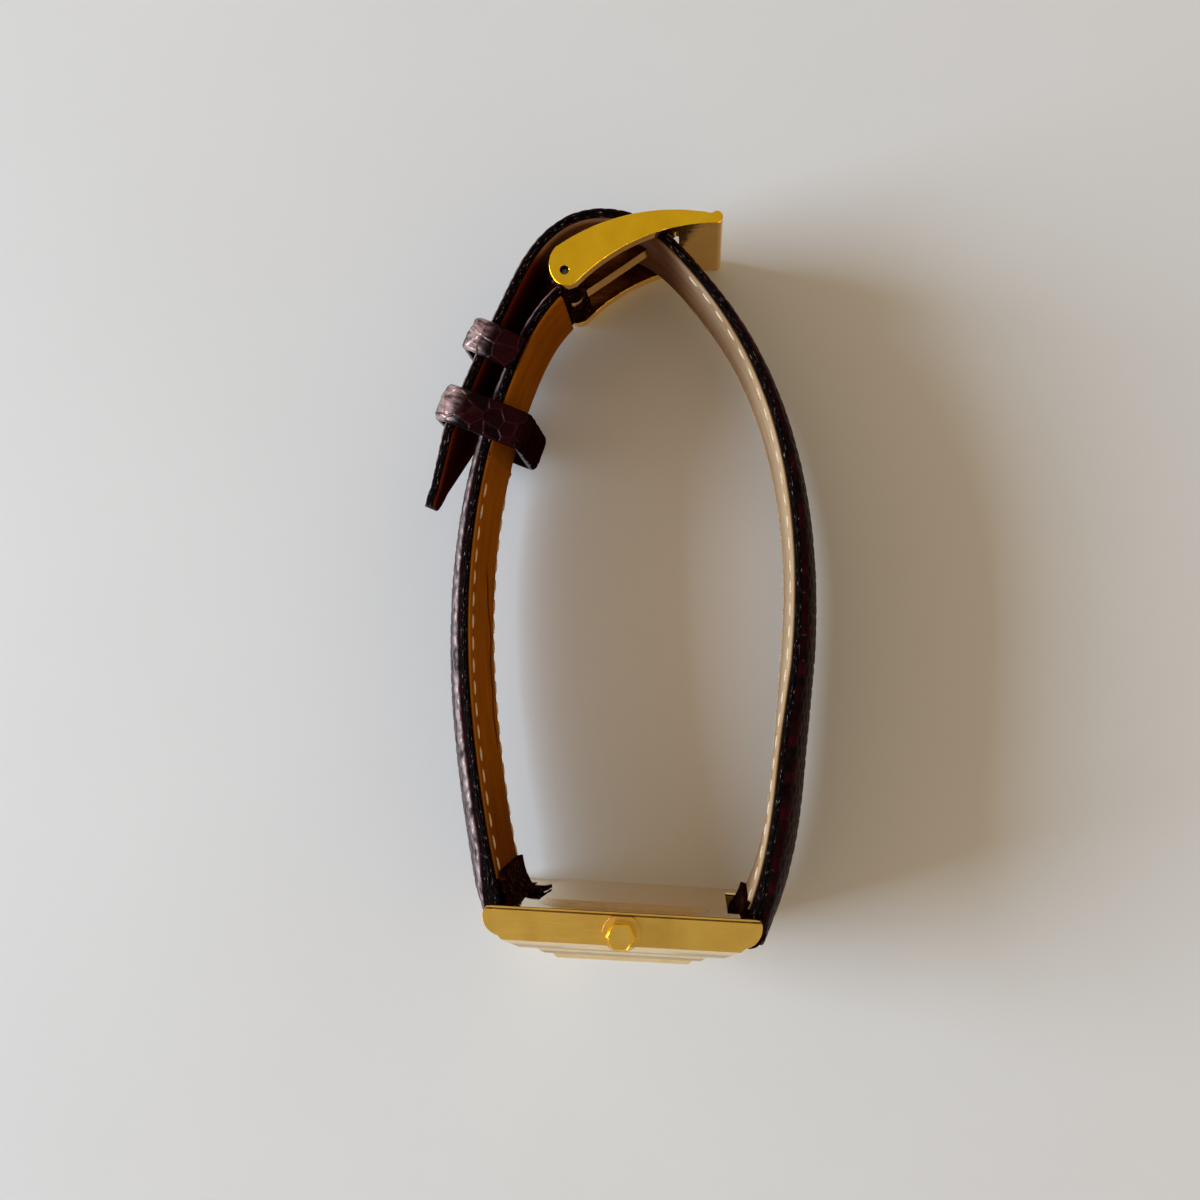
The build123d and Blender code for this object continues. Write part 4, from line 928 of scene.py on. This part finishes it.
@dataclass
class Keeper:
    """Loop of the strap's leather round both halves; open at the wrist side when it is sewn in."""

    name: str
    node: str
    body: str
    across: float
    up: float
    height: float
    band: float
    angle: float
    inner_width: float
    open_loop: bool
    seed: int
    wall: float = 0.8 * MM
    inner_corner: Pair = (0.7 * MM, 0.7 * MM)
    outer_corner: Pair = (4.0 * MM, 1.9 * MM)
    rim: Pair = (0.4 * MM, 0.33 * MM)
    pitch: Pair = (2.0, 1.75)
    jitter: float = 0.95

    def build(self) -> list[Piece]:
        """Build the keeper with irregular flat scales, raised ridges and soft rims."""
        outer_mark, inner_mark = 20, 60  # surface coordinates of the outside and of the inside
        turn = math.radians(self.angle)
        along_way = np.array([math.cos(turn), math.sin(turn)])
        out_way = np.array([along_way[1], -along_way[0]])
        centre_height = float(strap_middle(np.array([self.up]))[0])
        loop = RoundedOutline(self.height / 2 - self.wall / 2, self.inner_width / 2 + self.wall / 2,
                              (self.inner_corner, self.outer_corner), self.open_loop)
        section = RoundedOutline(self.band / 2, self.wall / 2, (self.rim, self.rim), False)

        def shape(along: Array, around: Array) -> tuple[Array, Array]:
            """Places of the loop's points."""
            out, side, normal_out, normal_side = loop.at(along).T
            band, wall, _, wall_normal = section.at(around).T
            place = along * loop.length / MM
            gap, tone = scale_pattern(place, band / MM + outer_mark, self.pitch, self.seed,
                                      self.jitter)
            ridge = 1 - smooth(gap, 0.02, 0.14)
            creases = 0.02 * np.sin(3.1 * place + 2.2 * band / MM) * np.sin(5.3 * band / MM - place)
            pillow = 0.16 * (1 - (2 * band / self.band) ** 2)
            lift = (pillow + 0.08 * ridge + 0.1 * (tone - 0.5) + creases) * MM
            through = wall + lift * smooth(wall_normal, 0.2, 0.9)
            flat = np.array([self.across, self.up]) + along_way * band[:, None] \
                + out_way * (out + normal_out * through)[:, None]
            places = np.column_stack([flat, centre_height + side + normal_side * through])
            mark = np.where(wall_normal > 0, outer_mark, inner_mark)
            return places, np.column_stack([place, band / MM + mark])

        piece = grid_piece(self.name, 560, 110, shape, wrap_rows=not self.open_loop)
        mark_scales(piece, self.pitch, self.seed, 0.12, self.jitter)
        along, across = surface_points(piece).T
        leaning = loop.at(along * MM / loop.length)[:, 2]
        outside = across < (outer_mark + inner_mark) / 2
        point_attribute(piece, "wear_and_shade", smooth(leaning, 0.15, 0.5) * outside)
        # Pale colour on the corners that lean outwards, towards the window, is a painted highlight.
        point_attribute(piece, "painted_highlight", 0.75 * outside * smooth(leaning, 0.2, 0.5)
                        * (1 - smooth(leaning, 0.8, 0.98)))
        dress(piece, LIZARD_BELLY, LIZARD_INNER)
        set_slots(piece, lambda face: int(
            face.normal.x * out_way[0] + face.normal.y * out_way[1] < -0.5))
        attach(piece, self.body)
        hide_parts(self.node)
        return [piece]


@dataclass
class RoundedMetal:
    """Metal part of the frame, copied with its sharp edges broken as polishing leaves them."""

    node: str
    finish: Finish
    body: str
    material_slot: str
    edge: float
    zones: Sequence[tuple[Finish, Callable[[Face], bool]]] = ()
    sharp_angle: float = math.radians(35)

    def build(self) -> list[Piece]:
        """Copy the node, merge it, flatten its triangles and round its edges."""
        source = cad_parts[self.node]
        piece = source.copy()
        piece.data = source.data.copy()
        piece.parent = None
        for key in list(piece.keys()):
            del piece[key]
        piece.name = piece.data.name = f"{self.node}_rounded"
        bpy.context.collection.objects.link(piece)
        piece.hide_render = piece.hide_viewport = False
        select_only(piece)
        bpy.ops.object.mode_set(mode="EDIT")
        bpy.ops.mesh.select_all(action="SELECT")
        bpy.ops.mesh.remove_doubles(threshold=0.001 * MM)
        bpy.ops.mesh.dissolve_limited(angle_limit=math.radians(0.5))
        bpy.ops.object.mode_set(mode="OBJECT")
        bevel = piece.modifiers.new("edge_break", "BEVEL")
        bevel.width, bevel.segments, bevel.limit_method = self.edge, 3, "ANGLE"
        bevel.angle_limit, bevel.harden_normals = self.sharp_angle, True
        bpy.ops.object.modifier_apply(modifier=bevel.name)
        bpy.ops.object.shade_smooth_by_angle(angle=self.sharp_angle)
        evened = piece.modifiers.new("flat_faces", "WEIGHTED_NORMAL")
        evened.keep_sharp = True
        bpy.ops.object.modifier_apply(modifier=evened.name)
        dress(piece, self.finish, *(finish for finish, _ in self.zones))
        set_slots(piece, lambda face: max(
            (slot for slot, (_, inside) in enumerate(self.zones, 1) if inside(face)), default=0))
        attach(piece, self.body)
        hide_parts(self.node)
        return [piece]


def at_flank(face: Face) -> bool:
    """Whether a face of the case lies by its upper or lower flank."""
    return abs(face.center.z - MID_HEIGHT) > FLANK


def on_steps(face: Face) -> bool:
    """Whether a face of the case lies on its stepped front."""
    return face.center.y < STEPS_FRONT


def in_seam_and_shade(face: Face) -> bool:
    """Whether a face lies in the groove between body and back, or on an edge line of painted shade.
    """
    depth, turned = face.center.y, abs(face.normal.y)
    # The groove is a real joint; the flank's front edge and the back's outer edge are painted shade.
    return at_flank(face) and (1.2 * MM < depth < 1.5 * MM and turned > 0.2
                               or abs(depth - STEPS_FRONT) < 0.15 * MM and 0.15 < turned < 0.95
                               or depth > 1.6 * MM and 0.15 < turned)


def on_back_flank(face: Face) -> bool:
    """Whether a face of the back continues the case's satin flank."""
    return abs(face.normal.z) > 0.9 and at_flank(face)


def in_buckle(face: Face) -> bool:
    """Whether a face of the buckle looks at the strap from its ears or its end plate."""
    high, up = face.center.z, face.normal.z
    return (face.normal.x < -0.5 and face.center.x > 4 * MM
            or up > 0.9 and high < 8 * MM or up < -0.9 and high > 8 * MM)


def in_bar_hole(face: Face) -> bool:
    """Whether a face of the buckle is the wall of a spring bar hole."""
    away = math.hypot(face.center.x - BUCKLE_BAR[0], face.center.y - BUCKLE_BAR[1])
    # Dark gold on these walls is painted shade.
    return away < 0.9 * MM and abs(face.normal.z) < 0.9


def on_lug_rim(face: Face) -> bool:
    """Whether a face belongs to the polished rim round a lug's end."""
    return abs(face.center.x) > 12.4 * MM and 0.05 < abs(face.normal.z) < 0.98


def on_tang_flank(face: Face) -> bool:
    """Whether a face is a flat flank of the tang, between its bright rims."""
    return abs(face.normal.z) > 0.95


def on_crown_face(face: Face) -> bool:
    """Whether a face is the crown's flat end."""
    return face.normal.z > 0.99


@dataclass
class Studio:
    """Pale table, daylight from a window at the left, camera straight above."""

    camera_place: Triple = (6.17 * MM, 24.4 * MM, 195 * MM)
    lens: float = 50.79
    shift: Pair = (-97 / 1200, 90 / 1200)
    roll: float = math.radians(3.2)
    aim: Triple = (0, 0.03, 0)
    card_colour: Triple = (1.0, 0.96, 0.92)
    ambient: tuple[float, float, float, float] = (0.465, 0.36, 0.24, 1)
    backdrop: tuple[float, float, float, float] = (0.5, 0.485, 0.45, 1)

    def camera(self) -> None:
        """Create the camera over the watch."""
        data = bpy.data.cameras.new("camera")
        data.lens, data.sensor_width = self.lens, 36.0
        data.shift_x, data.shift_y = self.shift
        data.clip_start, data.clip_end = 0.01, 20
        camera = bpy.data.objects.new("camera", data)
        camera.location, camera.rotation_euler = self.camera_place, (0, 0, self.roll)
        bpy.context.collection.objects.link(camera)
        bpy.context.scene.camera = camera

    def table(self) -> None:
        """Create the pale table top."""
        select_only()
        bpy.ops.mesh.primitive_plane_add(size=6)
        top = bpy.context.object
        top.name = "table_top"
        dress(top, TABLE)

    def lamps(self) -> None:
        """Create the window light, and two cards that show only in reflections."""
        aim, card_size = Vector(self.aim), (0.5, 0.4)
        for name, place, size, energy, colour in (
                ("window", (-1.12, -0.1, 0.5), (0.7, 0.8), 22.3, (0.665, 0.82, 1.0)),
                ("card_front", (0.45, -0.75, 0.32), card_size, 3.0, self.card_colour),
                ("card_window", (-1.1, -0.05, 0.52), card_size, 13.0, self.card_colour)):
            light = bpy.data.lights.new(name, "AREA")
            light.shape, (light.size, light.size_y) = "RECTANGLE", size
            light.energy, light.color = energy, colour
            lamp = bpy.data.objects.new(name, light)
            lamp.location = aim + Vector(place)
            lamp.rotation_euler = (lamp.location - aim).to_track_quat("Z", "Y").to_euler()
            lamp.visible_diffuse = name == "window"
            bpy.context.collection.objects.link(lamp)

    def room(self) -> None:
        """Light the table with warm ambient light; the eye and reflections see a paler room."""
        world = bpy.context.scene.world or bpy.data.worlds.new("room")
        bpy.context.scene.world = world
        world.use_nodes = True
        tree = world.node_tree
        tree.nodes.clear()
        rays = add_node(tree, "LightPath").outputs
        seen = add_node(tree, "Math", {
            0: rays["Is Camera Ray"], 1: rays["Is Glossy Ray"]}, operation="MAXIMUM")
        clear = add_node(tree, "Math", {
            0: seen, 1: rays["Is Transmission Ray"]}, operation="MAXIMUM")
        room = add_node(tree, "Mix", {
            0: clear, 6: self.ambient, 7: self.backdrop}, data_type="RGBA")
        light = add_node(tree, "Background", {"Color": room.outputs[2]})
        add_node(tree, "OutputWorld", {"Surface": light})

    def build(self) -> None:
        """Set up the camera, table, lamps and room."""
        bpy.context.scene.view_settings.view_transform = "Standard"
        self.camera()
        self.table()
        self.lamps()
        self.room()


def strap_route(*points: Pair) -> Route:
    """Route through points given as shares of the loop's measures."""
    return Route([(x * 32.7 * MM, y * 73.3 * MM) for x, y in points])


ROUTE_12 = strap_route(
    (-0.354, -0.006), (-0.399, 0.06), (-0.449, 0.154), (-0.506, 0.297), (-0.535, 0.47),
    (-0.509, 0.634), (-0.426, 0.782), (-0.345, 0.86), (-0.262, 0.904))
ROUTE_6 = strap_route(
    (0.354, -0.006), (0.408, 0.065), (0.459, 0.273), (0.4725, 0.4), (0.4255, 0.636),
    (0.2705, 0.8185), (0.064, 0.9365), (-0.1, 0.988), (-0.2705, 0.987), (-0.37, 0.952),
    (-0.45, 0.885), (-0.535, 0.79), (-0.62, 0.686), (-0.709, 0.576))
STRAP_LOW, STRAP_HIGH = MID_HEIGHT - LUG_WIDTH / 2, MID_HEIGHT + LUG_WIDTH / 2
FOLD_LOW, FOLD_HIGH = STRAP_LOW + 0.1 * MM, STRAP_HIGH - 0.1 * MM

PARTS = (
    StrapHalf("strap_twelve", 12, ROUTE_12, outward=-1, tail=False, seed=3,
              lining_finish=LINING_SHADED, narrow_share=0.7, thin_share=1.0, thick=3.3 * MM,
              nose_drop=0.7 * MM, twist=1.5, twist_share=1.0, lining_start=4.6 * MM,
              lining_end=1 - 2.3 * MM / ROUTE_12.length, dark_from=1.0, highlight_from=-8 * MM,
              stitch_end=48 * MM),
    StrapHalf("strap_six", 6, ROUTE_6, outward=1, tail=True, seed=11,
              lining_finish=LINING_PALE, narrow_share=0.62, thin_share=0.6, thick=3.5 * MM,
              nose_drop=0.05 * MM, twist=-2.3, twist_share=0.24, lining_start=2.9 * MM,
              lining_end=1.0, dark_from=84 * MM, highlight_from=84 * MM, stitch_end=75 * MM),
    Wrap("lug_wrap_twelve", (-12.8 * MM, -0.3 * MM), 1.45 * MM, STRAP_LOW, STRAP_HIGH),
    Wrap("lug_wrap_six", (12.9 * MM, -0.05 * MM), 1.85 * MM, STRAP_LOW, STRAP_HIGH, 9),
    Wrap("buckle_wrap_lower", BUCKLE_BAR, 1.75 * MM, 2.2 * MM, 8.2 * MM, 6),
    Wrap("buckle_wrap_upper", BUCKLE_BAR, 1.75 * MM, 11.8 * MM, 17.8 * MM, 7),
    LugFold("lug_fold_twelve", ((-11.1, 0.9), (-11.6, 1.7), (-12.25, 2.9), (-12.75, 4.7)),
            0.9 * MM, FOLD_LOW, FOLD_HIGH, 1.0),
    LugFold("lug_flap_twelve", ((-8.3, 2.42), (-9.2, 2.15), (-10.2, 2.0), (-11.2, 1.6)),
            0.3 * MM, 8.5 * MM, 16.5 * MM, 2.0, 0.85),
    LugFold("lug_fold_six", ((12.6, 3.0), (12.3, 2.0), (11.9, 1.2), (11.5, 0.6)),
            0.8 * MM, FOLD_LOW, FOLD_HIGH, 4.0),
    Keeper("keeper_sewn", "fixed_keeper", WATCH, across=-16.55 * MM, up=59.2 * MM,
           height=7.0 * MM, band=3.7 * MM, angle=246.0, inner_width=15.84 * MM, open_loop=True,
           seed=21),
    Keeper("keeper_loose", "sliding_keeper", "sliding_keeper", across=-17.7 * MM, up=51.65 * MM,
           height=9.7 * MM, band=4.0 * MM, angle=251.5, inner_width=16.08 * MM, open_loop=False,
           seed=31),
    # Buckle faces towards the strap get a painted dark reflection; the bar holes' walls are painted
    # shade.
    RoundedMetal("buckle_frame", GOLD_POLISHED, "buckle", "gold_polished", 0.3 * MM,
                 ((GOLD_DARK_REFLECTION, in_buckle), (GOLD_SEAM_AND_SHADE, in_bar_hole))),
    # The tang's flat flanks get a painted dark reflection.
    RoundedMetal("buckle_tang", GOLD_POLISHED, "tang", "gold_polished", 0.2 * MM,
                 ((GOLD_DARK_REFLECTION, on_tang_flank),)),
    # The seam's groove is a real joint; its dark edge lines are painted shade.
    RoundedMetal("case_body", GOLD_SATIN, WATCH, "gold_satin", 0.12 * MM,
                 ((GOLD_FRONT, on_steps), (GOLD_POLISHED, on_lug_rim), (GOLD_JOINT_AND_SHADE, in_seam_and_shade))),
    RoundedMetal("case_back", GOLD_MIRROR, WATCH, "gold_satin", 0.13 * MM,
                 ((GOLD_SATIN, on_back_flank), (GOLD_SEAM_AND_SHADE, in_seam_and_shade))),
    RoundedMetal("crown", GOLD_POLISHED, "crown", "gold_polished", 0.13 * MM,
                 ((GOLD_SATIN, on_crown_face),)),
)


def main() -> None:
    """Build the studio, dress the carried-over parts, and build what is modelled here."""
    logging.basicConfig(level=logging.INFO, format="%(name)s: %(message)s")
    Studio().build()
    for name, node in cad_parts.items():
        dress(node, NODE_FINISH.get(name, STEEL))
    for part in PARTS:
        for piece in part.build():
            log.info("%s: %d faces", piece.name, len(piece.data.polygons))


if __name__ == "__main__":
    main()
